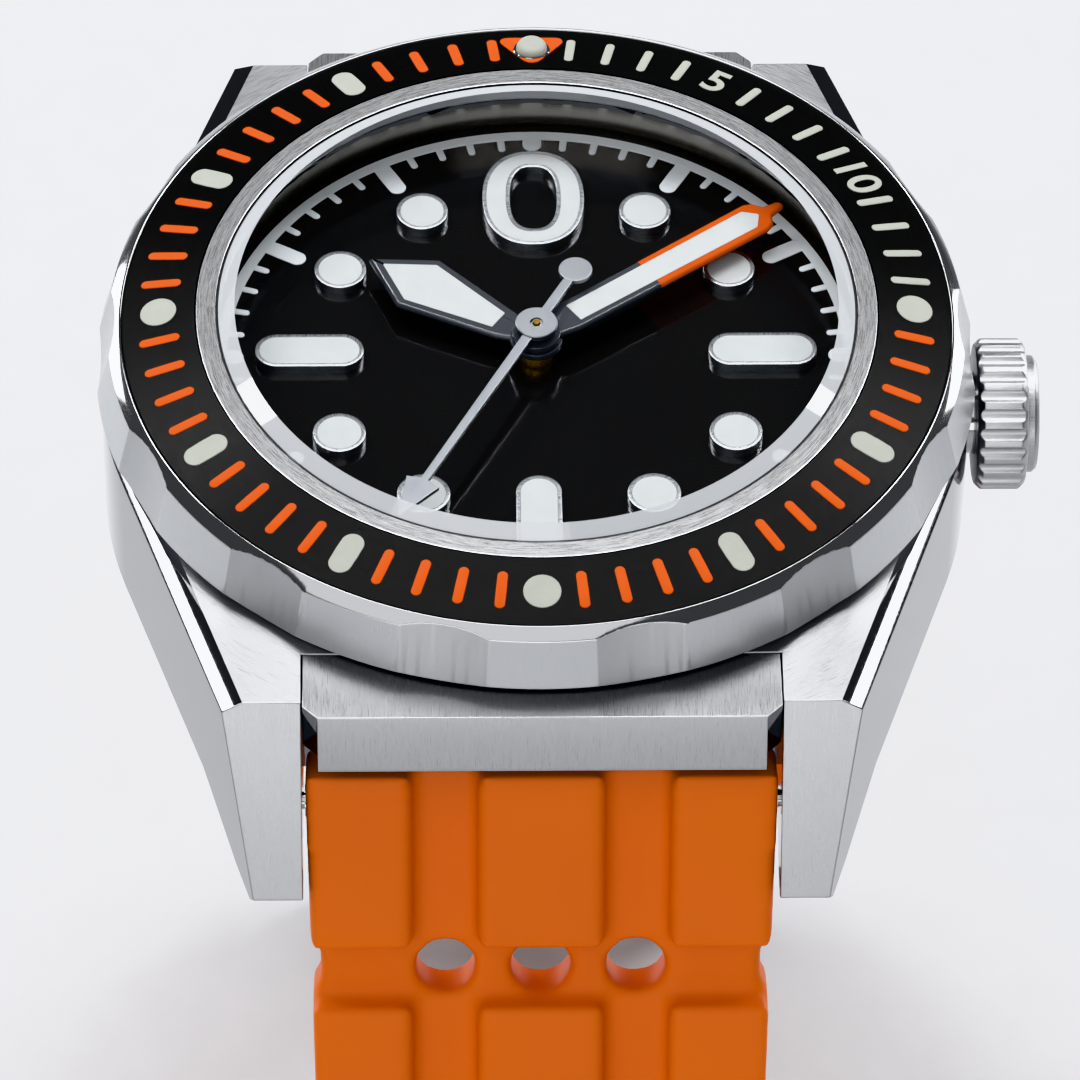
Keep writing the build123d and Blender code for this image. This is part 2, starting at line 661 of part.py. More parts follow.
with BuildPart() as jewels:
    for pivot in PIVOTS + [BALANCE_AT, (0, 0)]:
        disc(JEWEL_R, ARBOR_R + 0.03, BRIDGE_Z + 0.2, BRIDGE_TOP_Z, centre=pivot)
    for pivot in PIVOTS + [BALANCE_AT, PALLET_AT]:
        disc(JEWEL_R, ARBOR_R + 0.03, PLATE_Z, PLATE_Z + 0.6, centre=pivot)
save(jewels.part, "jewels")

with BuildPart() as movement_screws:
    for angle in SCREW_ANGLES + (COCK_SCREW_ANGLE,):
        disc(SCREW_R, 0, BRIDGE_Z - 0.1, BRIDGE_TOP_Z + 1.1, centre=polar(SCREW_AT_R, angle))
        disc(SCREW_HEAD_R, 0, BRIDGE_Z - 0.3, BRIDGE_Z, centre=polar(SCREW_AT_R, angle))
    with BuildSketch(Plane.XY.offset(BRIDGE_Z - 0.35)):
        for angle in SCREW_ANGLES + (COCK_SCREW_ANGLE,):
            with Locations(polar(SCREW_AT_R, angle)):
                Rectangle(2, 0.2)
    extrude(amount=0.2, mode=Mode.SUBTRACT)
save(movement_screws.part, "movement_screws")

# ---------------------------------------------------------------- going train

CENTRE_WHEEL_Z = PLATE_Z - 1.5
THIRD_WHEEL_Z = PLATE_Z - 2.0
FOURTH_WHEEL_Z = PLATE_Z - 2.45
BARREL_Z = PLATE_Z - 1.1

with BuildPart() as barrel:
    mesh_angle = gap_angle(BARREL_TEETH, BARREL_ANGLE + 180)
    gear(BARREL_TEETH, BARREL_M, BARREL_Z, BARREL_Z + 0.5, BARREL_AT, mesh_angle)
    disc(BARREL_M * BARREL_TEETH / 2 - 0.35, 0, BARREL_Z, PLATE_Z - 0.1, centre=BARREL_AT)
    disc(JEWEL_R, 0, BRIDGE_Z, PLATE_Z + 0.6, centre=BARREL_AT)
save(barrel.part, "barrel")

with BuildPart() as centre_wheel:
    gear(CENTRE_TEETH, CENTRE_M, CENTRE_WHEEL_Z, CENTRE_WHEEL_Z + WHEEL_T, (0, 0), THIRD_ANGLE, windows=5)
    gear(CENTRE_PINION, BARREL_M, CENTRE_WHEEL_Z + WHEEL_T, BARREL_Z + 0.6, (0, 0), BARREL_ANGLE)
    disc(CENTRE_ARBOR_R, 0, CENTRE_WHEEL_Z - 0.1, PLATE_TOP_Z + 1.1)
    disc(SECONDS_BORE_R, 0, CENTRE_WHEEL_Z - 1, DIAL_Z, mode=Mode.SUBTRACT)
save(centre_wheel.part, "centre_wheel")

with BuildPart() as third_wheel:
    gear(THIRD_TEETH, THIRD_M, THIRD_WHEEL_Z, THIRD_WHEEL_Z + WHEEL_T, THIRD_AT, THIRD_ANGLE + 180, windows=5)
    gear(THIRD_PINION, CENTRE_M, CENTRE_WHEEL_Z - 0.05, CENTRE_WHEEL_Z + 0.4, THIRD_AT,
         gap_angle(THIRD_PINION, THIRD_ANGLE + 180))
    disc(ARBOR_R, 0, BRIDGE_Z + 0.25, PLATE_Z + 0.55, centre=THIRD_AT)
save(third_wheel.part, "third_wheel")

with BuildPart() as seconds_wheel:
    gear(FOURTH_TEETH, FOURTH_M, FOURTH_WHEEL_Z, FOURTH_WHEEL_Z + WHEEL_T, (0, 0), ESCAPE_ANGLE, windows=5)
    gear(FOURTH_PINION, THIRD_M, FOURTH_WHEEL_Z + WHEEL_T, THIRD_WHEEL_Z + 0.35, (0, 0),
         gap_angle(FOURTH_PINION, THIRD_ANGLE))
    disc(ARBOR_R, 0, BRIDGE_Z + 0.25, SECONDS_HAND_Z + HAND_T + 0.1)
save(seconds_wheel.part, "seconds_wheel")

ESCAPE_TEETH = 15
ESCAPE_R = 1.9
ESCAPE_Z = PLATE_Z - 1.0

with BuildPart() as escape_wheel:
    gear(ESCAPE_PINION, FOURTH_M, FOURTH_WHEEL_Z - 0.05, FOURTH_WHEEL_Z + 0.4, ESCAPE_AT,
         gap_angle(ESCAPE_PINION, ESCAPE_ANGLE + 180))
    step = 360 / ESCAPE_TEETH
    hooked = []
    for number in range(ESCAPE_TEETH):
        hooked.append(around(ESCAPE_AT, ESCAPE_R * 0.78, number * step))
        hooked.append(around(ESCAPE_AT, ESCAPE_R, number * step + 0.55 * step))
        hooked.append(around(ESCAPE_AT, ESCAPE_R, number * step + 0.75 * step))
        hooked.append(around(ESCAPE_AT, ESCAPE_R * 0.78, number * step + 0.6 * step))
    flat_shape(hooked, ESCAPE_Z, ESCAPE_Z + 0.2)
    disc(ARBOR_R, 0, BRIDGE_Z + 0.25, PLATE_Z + 0.55, centre=ESCAPE_AT)
save(escape_wheel.part, "escape_wheel")



def heading(start, end):
    """The angle in degrees of the line from one point to another."""
    return degrees(atan2(end[1] - start[1], end[0] - start[0]))


def arm(start, end, root_half, tip_half):
    """A tapering flat arm between two points, in the active sketch."""
    angle = heading(start, end)
    Polygon(
        around(start, root_half, angle + 90),
        around(start, root_half, angle - 90),
        around(end, tip_half, angle - 90),
        around(end, tip_half, angle + 90),
        align=None,
    )


to_pallet = heading(ESCAPE_AT, PALLET_AT)
FORK_REACH = 2.3
with BuildPart() as pallet_fork:
    with BuildSketch(Plane.XY.offset(ESCAPE_Z)):
        arm(PALLET_AT, around(PALLET_AT, FORK_REACH, heading(PALLET_AT, BALANCE_AT)), 0.25, 0.16)
        for turn in (-42, 42):
            arm(PALLET_AT, around(ESCAPE_AT, ESCAPE_R + 0.35, to_pallet + turn), 0.2, 0.16)
        with Locations(PALLET_AT):
            Circle(0.35)
    extrude(amount=0.2)
    disc(ARBOR_R, 0, ESCAPE_Z - 0.3, PLATE_Z + 0.55, centre=PALLET_AT)
save(pallet_fork.part, "pallet_fork")

BALANCE_Z = PLATE_Z - 2.05
with BuildPart() as balance_wheel:
    disc(BALANCE_R, BALANCE_R - 0.45, BALANCE_Z, BALANCE_Z + 0.45, centre=BALANCE_AT)
    with BuildSketch(Plane.XY.offset(BALANCE_Z + 0.1)):
        with Locations(BALANCE_AT):
            Rectangle(2 * BALANCE_R - 0.6, 0.5)
            Circle(0.6)
    extrude(amount=0.2)
    disc(ARBOR_R, 0, BRIDGE_Z + 0.25, PLATE_Z + 0.55, centre=BALANCE_AT)
    disc(0.55, 0, BALANCE_Z + 0.65, BALANCE_Z + 0.8, centre=BALANCE_AT)
save(balance_wheel.part, "balance_wheel")

COILS = 8
COIL_STEPS = 24
SPRING_IN_R, SPRING_OUT_R = 0.45, 1.9
STRIP_T = 0.05
SPRING_LOW_Z = BALANCE_Z - 0.37
SPRING_HIGH_Z = BALANCE_Z - 0.21
with BuildPart() as hairspring:
    inside = []
    outside = []
    for number in range(COILS * COIL_STEPS + 1):
        share = number / (COILS * COIL_STEPS)
        radius = SPRING_IN_R + (SPRING_OUT_R - SPRING_IN_R) * share
        inside.append(around(BALANCE_AT, radius, 360 * COILS * share))
        outside.append(around(BALANCE_AT, radius + STRIP_T, 360 * COILS * share))
    flat_shape(inside + list(reversed(outside)), SPRING_LOW_Z, SPRING_HIGH_Z)
    disc(SPRING_IN_R + 0.03, ARBOR_R + 0.03, SPRING_LOW_Z, SPRING_HIGH_Z, centre=BALANCE_AT)
    disc(0.15, 0, BRIDGE_TOP_Z, SPRING_HIGH_Z, centre=around(BALANCE_AT, SPRING_OUT_R - 0.05, 0))
    flat_shape(
        [around(BALANCE_AT, SPRING_OUT_R - 0.1, -6), around(BALANCE_AT, SPRING_OUT_R + 0.1, -6),
         around(BALANCE_AT, SPRING_OUT_R + 0.1, 6), around(BALANCE_AT, SPRING_OUT_R - 0.1, 6)],
        BRIDGE_TOP_Z, SPRING_HIGH_Z,
    )
save(hairspring.part, "hairspring")

# ---------------------------------------------------------------- motion work and hands

with BuildPart() as cannon_pinion:
    gear(CANNON_TEETH, CANNON_M, PLATE_TOP_Z + 0.1, PLATE_TOP_Z + 0.45, (0, 0), MINUTE_ANGLE)
    disc(CANNON_R, 0, PLATE_TOP_Z + 0.1, MINUTE_HAND_Z + HAND_T)
    disc(CENTRE_ARBOR_R + 0.03, 0, PLATE_TOP_Z, MINUTE_HAND_Z + 1, mode=Mode.SUBTRACT)
save(cannon_pinion.part, "cannon_pinion")

with BuildPart() as minute_wheel:
    gear(MINUTE_TEETH, CANNON_M, PLATE_TOP_Z + 0.15, PLATE_TOP_Z + 0.4, MINUTE_AT,
         gap_angle(MINUTE_TEETH, MINUTE_ANGLE + 180), bore=POST_R + RUN)
    gear(MINUTE_PINION, HOUR_M, PLATE_TOP_Z + 0.4, PLATE_TOP_Z + 0.85, MINUTE_AT, MINUTE_ANGLE + 180,
         bore=POST_R + RUN)
save(minute_wheel.part, "minute_wheel")

with BuildPart() as hour_wheel:
    mesh_angle = gap_angle(HOUR_TEETH, MINUTE_ANGLE)
    gear(HOUR_TEETH, HOUR_M, PLATE_TOP_Z + 0.55, PLATE_TOP_Z + 0.8, (0, 0), mesh_angle)
    disc(HOUR_PIPE_R, 0, PLATE_TOP_Z + 0.55, HOUR_HAND_Z + HAND_T)
    disc(CANNON_R + 0.04, 0, PLATE_TOP_Z + 0.5, HOUR_HAND_Z + 1, mode=Mode.SUBTRACT)
save(hour_wheel.part, "hour_wheel")


def hand(outline, angle, level, hub_r, hole_r, lume=None):
    """A hand from its outline (along, across), with a round hub and a recess for its lume."""
    with BuildPart() as piece:
        with BuildSketch(Plane.XY.offset(level)):
            Polygon(*[by_clock(angle, *point) for point in outline], align=None)
            Circle(hub_r)
            Circle(hole_r, mode=Mode.SUBTRACT)
        extrude(amount=HAND_T)
        if lume:
            flat_shape([by_clock(angle, *point) for point in lume], level + HAND_T - LUME_T, level + HAND_T,
                       mode=Mode.SUBTRACT)
    return piece.part


def hand_lume(outline, angle, level):
    """The luminous filling that sits in a hand's recess."""
    with BuildPart() as filling:
        points = [by_clock(angle, *point) for point in outline]
        flat_shape(points, level + HAND_T - LUME_T, level + HAND_T - 0.02)
    return filling.part


def mirrored(right_side):
    """A full outline from its right half, base first."""
    return right_side + [(along, -across) for along, across in reversed(right_side) if across > 0]


HOUR_OUTLINE = mirrored([(0.5, 0.55), (1.75, 0.95), (6.75, 1.85), (9.6, 0.0)])
HOUR_LUME = mirrored([(2.07, 0.52), (6.7, 1.5), (8.9, 0.0)])
# The minute hand's finger reaches over the minute track
MINUTE_OUTLINE = mirrored(
    [(0.5, 0.7), (1.9, 0.95), (13.1, 1.02), (13.55, 0.8), (13.9, 0.3), (14.6, 0.2), (14.75, 0.0)]
)
MINUTE_LUME = mirrored([(2.1, 0.56), (12.9, 0.62), (13.35, 0.0)])
SECONDS_OUTLINE = [
    (-3.4, 0.2), (11.4, 0.2), (11.2, 0.85), (13.9, 0.0), (11.2, -0.85), (11.4, -0.2), (-3.4, -0.2),
]
SECONDS_WEIGHT_AT = 4.05

save(hand(HOUR_OUTLINE, HOUR_ANGLE, HOUR_HAND_Z, 1.15, HOUR_PIPE_R, HOUR_LUME), "hour_hand")
save(hand_lume(HOUR_LUME, HOUR_ANGLE, HOUR_HAND_Z), "hour_hand_lume")
save(hand(MINUTE_OUTLINE, MINUTE_HAND_ANGLE, MINUTE_HAND_Z, 1.0, CANNON_R, MINUTE_LUME), "minute_hand")
save(hand_lume(MINUTE_LUME, MINUTE_HAND_ANGLE, MINUTE_HAND_Z), "minute_hand_lume")

with BuildPart() as seconds_hand:
    with BuildSketch(Plane.XY.offset(SECONDS_HAND_Z)):
        Polygon(*[by_clock(SECONDS_ANGLE, *point) for point in SECONDS_OUTLINE], align=None)
        Circle(1.0)
        with Locations(by_clock(SECONDS_ANGLE, -SECONDS_WEIGHT_AT, 0)):
            Circle(0.8)
        Circle(ARBOR_R, mode=Mode.SUBTRACT)
    extrude(amount=HAND_T)
    disc(0.4, ARBOR_R, SECONDS_HAND_Z - 0.3, SECONDS_HAND_Z)
save(seconds_hand.part, "seconds_hand")

# ---------------------------------------------------------------- rotor

with BuildPart() as rotor_bearing:
    disc(2.2, 1.65, BRIDGE_Z - 0.9, BRIDGE_Z)
    disc(2.2, 0.7, BRIDGE_Z - 0.2, BRIDGE_Z)
save(rotor_bearing.part, "rotor_bearing")

with BuildPart() as rotor:
    with BuildSketch(Plane.XY.offset(ROTOR_Z)):
        Circle(ROTOR_R)
        Circle(ROTOR_R - 2.0, mode=Mode.SUBTRACT)
        with Locations((0, -ROTOR_R)):
            Rectangle(2 * ROTOR_R, 2 * ROTOR_R, mode=Mode.INTERSECT)
    extrude(amount=1.5)
    with BuildSketch(Plane.XY.offset(ROTOR_Z)):
        Circle(ROTOR_R - 1.9)
        with Locations((0, -ROTOR_R)):
            Rectangle(2 * ROTOR_R, 2 * ROTOR_R, mode=Mode.INTERSECT)
        Circle(3.0)
    extrude(amount=0.5)
    disc(1.6, 0, ROTOR_Z, BRIDGE_Z - 0.3)
save(rotor.part, "rotor")

# ---------------------------------------------------------------- strap


def walk(path, distance):
    """Where a strap's bar line is after a distance: how far out, how high and its slope in degrees."""
    y, z, slope = BAR_Y, BAR_Z, LEAN
    for length, start, end in path:
        run = min(distance, length)
        if start == end:
            slope = start
            y += run * cos(radians(start))
            z -= run * sin(radians(start))
        else:
            radius = length / radians(end - start)
            slope = start + (end - start) * run / length
            y += radius * (sin(radians(slope)) - sin(radians(start)))
            z += radius * (cos(radians(slope)) - cos(radians(start)))
        distance -= run
        if distance <= 0:
            break
    return y, z, slope


def strap_point(path, side, distance, height):
    """A point in the YZ plane at a distance along the strap and a height over its bar line."""
    y, z, slope = walk(path, distance)
    return (side * (y + height * sin(radians(slope))), z + height * cos(radians(slope)))


def band(path, side, start, end, low, high):
    """A length of strap between two heights over the bar line, in the active YZ sketch."""
    done = 0.0
    for number, (length, first, last) in enumerate(path):
        begin = start if number == 0 else max(start, done)
        finish = min(end, done + length)
        if finish > begin:
            middle = (begin + finish) / 2
            corner = [strap_point(path, side, s, h) for s, h in
                      ((begin, low), (begin, high), (finish, high), (finish, low))]
            with BuildLine() as edge:
                Line(corner[0], corner[1])
                Line(corner[2], corner[3])
                if first == last:
                    Line(corner[1], corner[2])
                    Line(corner[3], corner[0])
                else:
                    ThreePointArc(corner[1], strap_point(path, side, middle, high), corner[2])
                    ThreePointArc(corner[3], strap_point(path, side, middle, low), corner[0])
            make_face(edge.edges())
        done += length


def strap_plane(path, side, distance, height=0.0):
    """A plane lying on the strap, its normal away from the wrist and its X across the strap."""
    y, z, slope = walk(path, distance)
    turn = radians(slope)
    return Plane(
        origin=(0, side * (y + height * sin(turn)), z + height * cos(turn)),
        x_dir=(1, 0, 0),
        z_dir=(0, side * sin(turn), cos(turn)),
    )


def rows_of(count):
    """Start and end of each raised row along a strap."""
    rows = [(-STRAP_HEAD, ROW_1 - STRAP_HEAD)]
    for _ in range(count - 1):
        start = rows[-1][1] + ROW_GAP
        rows.append((start, start + ROW_LENGTH))
    return rows


def make_strap(path, side, row_count, length):
    """One strap piece: a plain band with raised rows in three columns, vents, waists and a bar hole."""
    half = STRAP_W / 2
    end_half = STRAP_END_W / 2
    rows = rows_of(row_count)
    column = COLUMN_MID / 2
    outer = column + GROOVE_W
    with BuildPart() as strap:
        with BuildSketch(Plane.YZ):
            band(path, side, -STRAP_HEAD, length, STRAP_IN, STRAP_BASE)
        extrude(amount=half, both=True)
        with BuildSketch(Plane.YZ):
            for start, end in rows:
                band(path, side, start, end, STRAP_BASE - 0.1, STRAP_TOP)
        extrude(amount=column, both=True)
        for low in (outer, -half):
            with BuildSketch(Plane.YZ.offset(low)):
                for start, end in rows:
                    band(path, side, start, end, STRAP_BASE - 0.1, STRAP_TOP)
            extrude(amount=half - outer)
        # Vents and side waists in the gap after each row
        for _, end in rows:
            middle = end + ROW_GAP / 2
            with BuildSketch(strap_plane(path, side, middle)):
                with Locations((-VENT_X, 0), (0, 0), (VENT_X, 0)):
                    Circle(VENT_R)
                with Locations((half, 0), (-half, 0)):
                    SlotOverall(2.6, 1.3, rotation=90)
            extrude(amount=5, both=True, mode=Mode.SUBTRACT)
        # The taper, as two long wedges off the sides
        taper_z = walk(path, STRAP_TAPER_S)[1]
        low_z = min(walk(path, length)[1], taper_z) - 5
        for edge in (1, -1):
            with BuildSketch(Plane.XZ):
                Polygon(
                    (edge * half, BAR_Z + 4),
                    (edge * end_half, taper_z),
                    (edge * end_half, low_z),
                    (edge * (half + 3), low_z),
                    (edge * (half + 3), BAR_Z + 4),
                    align=None,
                )
            extrude(amount=2 * BAR_Y, both=True, mode=Mode.SUBTRACT)
        # The spring bar's hole, and the rounded inner corner that lets the strap swing
        with BuildSketch(Plane.YZ):
            with Locations((side * BAR_Y, BAR_Z)):
                Circle(STRAP_HOLE_R)
        extrude(amount=half + 1, both=True, mode=Mode.SUBTRACT)
        with BuildSketch(Plane.YZ):
            Polygon(
                strap_point(path, side, -STRAP_HEAD - 0.1, STRAP_IN - 0.1),
                strap_point(path, side, -STRAP_HEAD - 0.1, STRAP_IN + 0.9),
                strap_point(path, side, -STRAP_HEAD + 0.9, STRAP_IN - 0.1),
                align=None,
            )
        extrude(amount=half + 1, both=True, mode=Mode.SUBTRACT)
    return strap


long_strap = make_strap(PATH_6, -1, ROWS_6, sum(length for length, _, _ in PATH_6))
TAIL_Y, TAIL_Z, _ = walk(PATH_6, sum(length for length, _, _ in PATH_6))
TABLE_Z = TAIL_Z - STRAP_BASE
HOLES, FIRST_HOLE_S, HOLE_PITCH = 7, 62.0, 7.0
HOLE_S = [FIRST_HOLE_S + HOLE_PITCH * number for number in range(HOLES)]
with BuildPart() as strap_6:
    add(long_strap.part)
    for distance in HOLE_S:
        with BuildSketch(strap_plane(PATH_6, -1, distance)):
            SlotOverall(3.0, 2.2, rotation=90)
        extrude(amount=3, both=True, mode=Mode.SUBTRACT)
    # The tail's tip is half round
    with BuildSketch(Plane.XY.offset(TABLE_Z - 1)):
        with Locations((0, -TAIL_Y - 3)):
            Rectangle(STRAP_W + 2, 6 + 0.02)
        with Locations((0, -TAIL_Y - 6)):
            SlotOverall(STRAP_END_W, 12, mode=Mode.SUBTRACT)
    extrude(amount=6, mode=Mode.SUBTRACT)
save(strap_6.part, "strap_6")

short_strap = make_strap(PATH_12, 1, ROWS_12, BUCKLE_S)
NOTCH_W = TONGUE_W + 2 * LOOSE
with BuildPart() as strap_12:
    add(short_strap.part)
    with BuildSketch(Plane.YZ):
        with Locations(strap_point(PATH_12, 1, BUCKLE_S, 0)):
            Circle(1.5)
    extrude(amount=STRAP_END_W / 2, both=True)
    with BuildSketch(Plane.YZ):
        with Locations(strap_point(PATH_12, 1, BUCKLE_S, 0)):
            Circle(STRAP_HOLE_R)
    extrude(amount=STRAP_W, both=True, mode=Mode.SUBTRACT)
    with BuildSketch(strap_plane(PATH_12, 1, BUCKLE_S)):
        Rectangle(NOTCH_W, 2 * 2.6)
    extrude(amount=4, both=True, mode=Mode.SUBTRACT)
save(strap_12.part, "strap_12")


def spring_bar(centre_y, centre_z, between, tip):
    """A spring bar across a gap, with a thin sprung tip at each end, in the part being built."""
    with BuildSketch(Plane.YZ) as body:
        with Locations((centre_y, centre_z)):
            Circle(BAR_R)
    extrude(body.sketch, amount=between / 2 - 0.1, both=True)
    with BuildSketch(Plane.YZ) as ends:
        with Locations((centre_y, centre_z)):
            Circle(BAR_TIP_R)
    extrude(ends.sketch, amount=between / 2 + tip, both=True)


with BuildPart() as spring_bars:
    spring_bar(BAR_Y, BAR_Z, LUG_GAP, 1.1)
    spring_bar(-BAR_Y, BAR_Z, LUG_GAP, 1.1)
save(spring_bars.part, "spring_bars")

# ---------------------------------------------------------------- buckle and keepers

BUCKLE_Y, BUCKLE_Z = strap_point(PATH_12, 1, BUCKLE_S, 0)
BUCKLE_SLOPE = walk(PATH_12, BUCKLE_S)[2]
REACH = (BUCKLE_Z - TABLE_Z + (BUCKLE_T / 2) * cos(radians(BUCKLE_SLOPE))) / sin(radians(BUCKLE_SLOPE))
BUCKLE_END = 2.4
buckle_plane = strap_plane(PATH_12, 1, BUCKLE_S)
down = 1 if buckle_plane.y_dir.Z < 0 else -1

with BuildPart() as buckle_bar:
    spring_bar(BUCKLE_Y, BUCKLE_Z, 2 * BUCKLE_IN_X, 0.9)
save(buckle_bar.part, "buckle_bar")

with BuildPart() as buckle:
    with BuildSketch(buckle_plane.offset(-BUCKLE_T / 2)):
        with Locations((0, down * (REACH - 2.0) / 2)):
            Rectangle(2 * (BUCKLE_IN_X + BUCKLE_ARM), REACH + 2.0)
            Rectangle(2 * BUCKLE_IN_X, REACH + 2.0 - 2 * BUCKLE_END, mode=Mode.SUBTRACT)
        with Locations((0, -down * 1.0)):
            Rectangle(2 * BUCKLE_IN_X, 4.6, mode=Mode.SUBTRACT)
    extrude(amount=BUCKLE_T)
    corners = buckle.edges().filter_by(Axis((0, 0, 0), tuple(buckle_plane.z_dir)))
    outer_corners = corners.filter_by(lambda edge: abs(edge.center().X) > BUCKLE_IN_X + 1)
    fillet(outer_corners.filter_by(lambda edge: edge.center().Z < BUCKLE_Z - 5), 2.0)
    with BuildSketch(Plane.YZ):
        with Locations((BUCKLE_Y, BUCKLE_Z)):
            Circle(BAR_TIP_R + 0.03)
    extrude(amount=BUCKLE_IN_X + 1.0, both=True, mode=Mode.SUBTRACT)
    # The end bar is hollowed where the tongue rests
    with BuildSketch(buckle_plane.offset(BUCKLE_T / 2)):
        with Locations((0, down * (REACH - BUCKLE_END / 2))):
            Rectangle(TONGUE_W + 0.4, BUCKLE_END + 1)
    extrude(amount=-0.5, mode=Mode.SUBTRACT)
save(buckle.part, "buckle")


def along_buckle(distance, height):
    """A point in the YZ plane in the buckle's own directions, from its bar."""
    turn = radians(BUCKLE_SLOPE)
    return (
        BUCKLE_Y + distance * cos(turn) + height * sin(turn),
        BUCKLE_Z - distance * sin(turn) + height * cos(turn),
    )


with BuildPart() as tongue:
    rest = BUCKLE_T / 2 - 0.5 + 0.05
    with BuildSketch(Plane.YZ):
        with Locations((BUCKLE_Y, BUCKLE_Z)):
            Circle(1.45)
        Polygon(
            along_buckle(0.3, -0.2),
            along_buckle(0.3, 1.4),
            along_buckle(REACH - BUCKLE_END, rest + 1.0),
            along_buckle(REACH - 0.6, rest + 0.7),
            along_buckle(REACH - 0.6, rest),
            along_buckle(REACH - BUCKLE_END - 0.6, rest),
            align=None,
        )
        with Locations((BUCKLE_Y, BUCKLE_Z)):
            Circle(STRAP_HOLE_R, mode=Mode.SUBTRACT)
    extrude(amount=TONGUE_W / 2, both=True)
save(tongue.part, "tongue")


def keeper(start, low):
    """A rubber loop round both layers of strap; low is the height of its inner face."""
    half = strap_half(start) + 0.15
    layers = STRAP_BASE + (STRAP_BASE - STRAP_IN) + 0.6
    with BuildPart() as loop:
        with BuildSketch(strap_plane(PATH_12, 1, start + KEEPER_W / 2)) as outline:
            Rectangle(2 * (half + KEEPER_WALL), KEEPER_W)
        extrude(amount=layers + KEEPER_WALL)
        extrude(outline.sketch, amount=low - KEEPER_WALL)
        with BuildSketch(strap_plane(PATH_12, 1, start + KEEPER_W / 2)) as opening:
            Rectangle(2 * half, KEEPER_W + 2)
        extrude(opening.sketch, amount=layers, mode=Mode.SUBTRACT)
        extrude(opening.sketch, amount=low, mode=Mode.SUBTRACT)
    return loop.part


def strap_half(distance):
    """Half the strap's width at a distance, from the taper's two ends."""
    share = min(1.0, max(0.0, distance / STRAP_TAPER_S))
    return (STRAP_W + (STRAP_END_W - STRAP_W) * share) / 2


save(keeper(FIXED_KEEPER_S, STRAP_IN - 0.05), "fixed_keeper")
save(keeper(FREE_KEEPER_S, STRAP_IN - 0.2), "free_keeper")
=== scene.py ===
import math

import bmesh
import bpy
from mathutils import Matrix, Vector


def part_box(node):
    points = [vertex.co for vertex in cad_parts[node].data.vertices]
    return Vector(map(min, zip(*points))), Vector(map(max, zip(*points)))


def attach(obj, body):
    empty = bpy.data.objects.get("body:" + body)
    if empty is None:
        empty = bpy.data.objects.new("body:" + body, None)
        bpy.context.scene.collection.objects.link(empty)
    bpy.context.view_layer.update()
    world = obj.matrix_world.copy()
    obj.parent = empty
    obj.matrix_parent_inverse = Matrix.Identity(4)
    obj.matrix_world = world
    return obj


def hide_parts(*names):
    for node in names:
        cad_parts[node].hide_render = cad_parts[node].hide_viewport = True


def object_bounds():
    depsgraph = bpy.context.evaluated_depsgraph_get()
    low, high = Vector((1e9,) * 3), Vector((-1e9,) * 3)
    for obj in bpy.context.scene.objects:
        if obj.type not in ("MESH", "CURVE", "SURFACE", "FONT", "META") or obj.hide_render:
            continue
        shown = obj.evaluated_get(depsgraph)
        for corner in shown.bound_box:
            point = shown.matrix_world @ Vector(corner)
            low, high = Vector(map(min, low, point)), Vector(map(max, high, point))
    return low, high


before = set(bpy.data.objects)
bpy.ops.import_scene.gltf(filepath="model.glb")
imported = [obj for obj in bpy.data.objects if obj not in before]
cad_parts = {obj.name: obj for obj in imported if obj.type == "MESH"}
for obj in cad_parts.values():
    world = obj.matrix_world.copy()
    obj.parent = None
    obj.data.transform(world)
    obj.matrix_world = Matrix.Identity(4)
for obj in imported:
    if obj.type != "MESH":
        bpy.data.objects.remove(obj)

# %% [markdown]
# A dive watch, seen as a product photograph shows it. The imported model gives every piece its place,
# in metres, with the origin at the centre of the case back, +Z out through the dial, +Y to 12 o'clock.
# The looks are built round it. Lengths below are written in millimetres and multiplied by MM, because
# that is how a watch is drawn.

MM = 0.001
cad_low, cad_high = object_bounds()
DIAL_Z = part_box("dial")[1].z
TABLE_Z = cad_low.z
print("dial at", round(DIAL_Z / MM, 2), "mm, table at", round(TABLE_Z / MM, 2), "mm")

# %% [markdown]
# The view comes first. A watch is photographed from far away with a long lens, so its sides stay
# nearly parallel; here the camera stands 342 mm from the dial, 46 degrees up, in front of 6 o'clock.
# It looks a little below the dial, so that the strap is in the picture.

# %% Camera
CAMERA_DISTANCE = 342.34 * MM
CAMERA_FROM = Vector((-0.0163, -0.6945, 0.7193))
AIM_OFFSET = Vector((0.15, -6.26, -6.05)) * MM
CAMERA_ROLL = math.radians(-0.79)
LENS = 240.8

scene = bpy.context.scene
dial_centre = Vector((0, 0, DIAL_Z))
camera_data = bpy.data.cameras.new("camera")
camera_data.lens = LENS
camera_data.sensor_width = 36
camera_data.clip_start = 0.01
camera = bpy.data.objects.new("camera", camera_data)
scene.collection.objects.link(camera)
camera.location = dial_centre + CAMERA_DISTANCE * CAMERA_FROM
aim = (dial_centre + AIM_OFFSET - camera.location).to_track_quat("-Z", "Y").to_matrix()
camera.rotation_euler = (aim @ Matrix.Rotation(-CAMERA_ROLL, 3, "Z")).to_euler()
scene.camera = camera
print("camera at", [round(value / MM) for value in camera.location], "mm")

# %% [markdown]
# Metal is only as good as what it reflects. The dial is a black mirror that looks up and back, so no
# lamp stands there. Soft boxes overhead, and high to the left and right, light the brushed tops, whose
# scratches throw the light sideways; two low ones behind draw the highlights along the bezel's edge;
# and a wide weak one in front fills the strap and the faces that look at the camera. A very soft sun
# stands for the room, so that the floor stays pale a long way off.

# %% Light and floor
scene.view_settings.view_transform = "Khronos PBR Neutral"


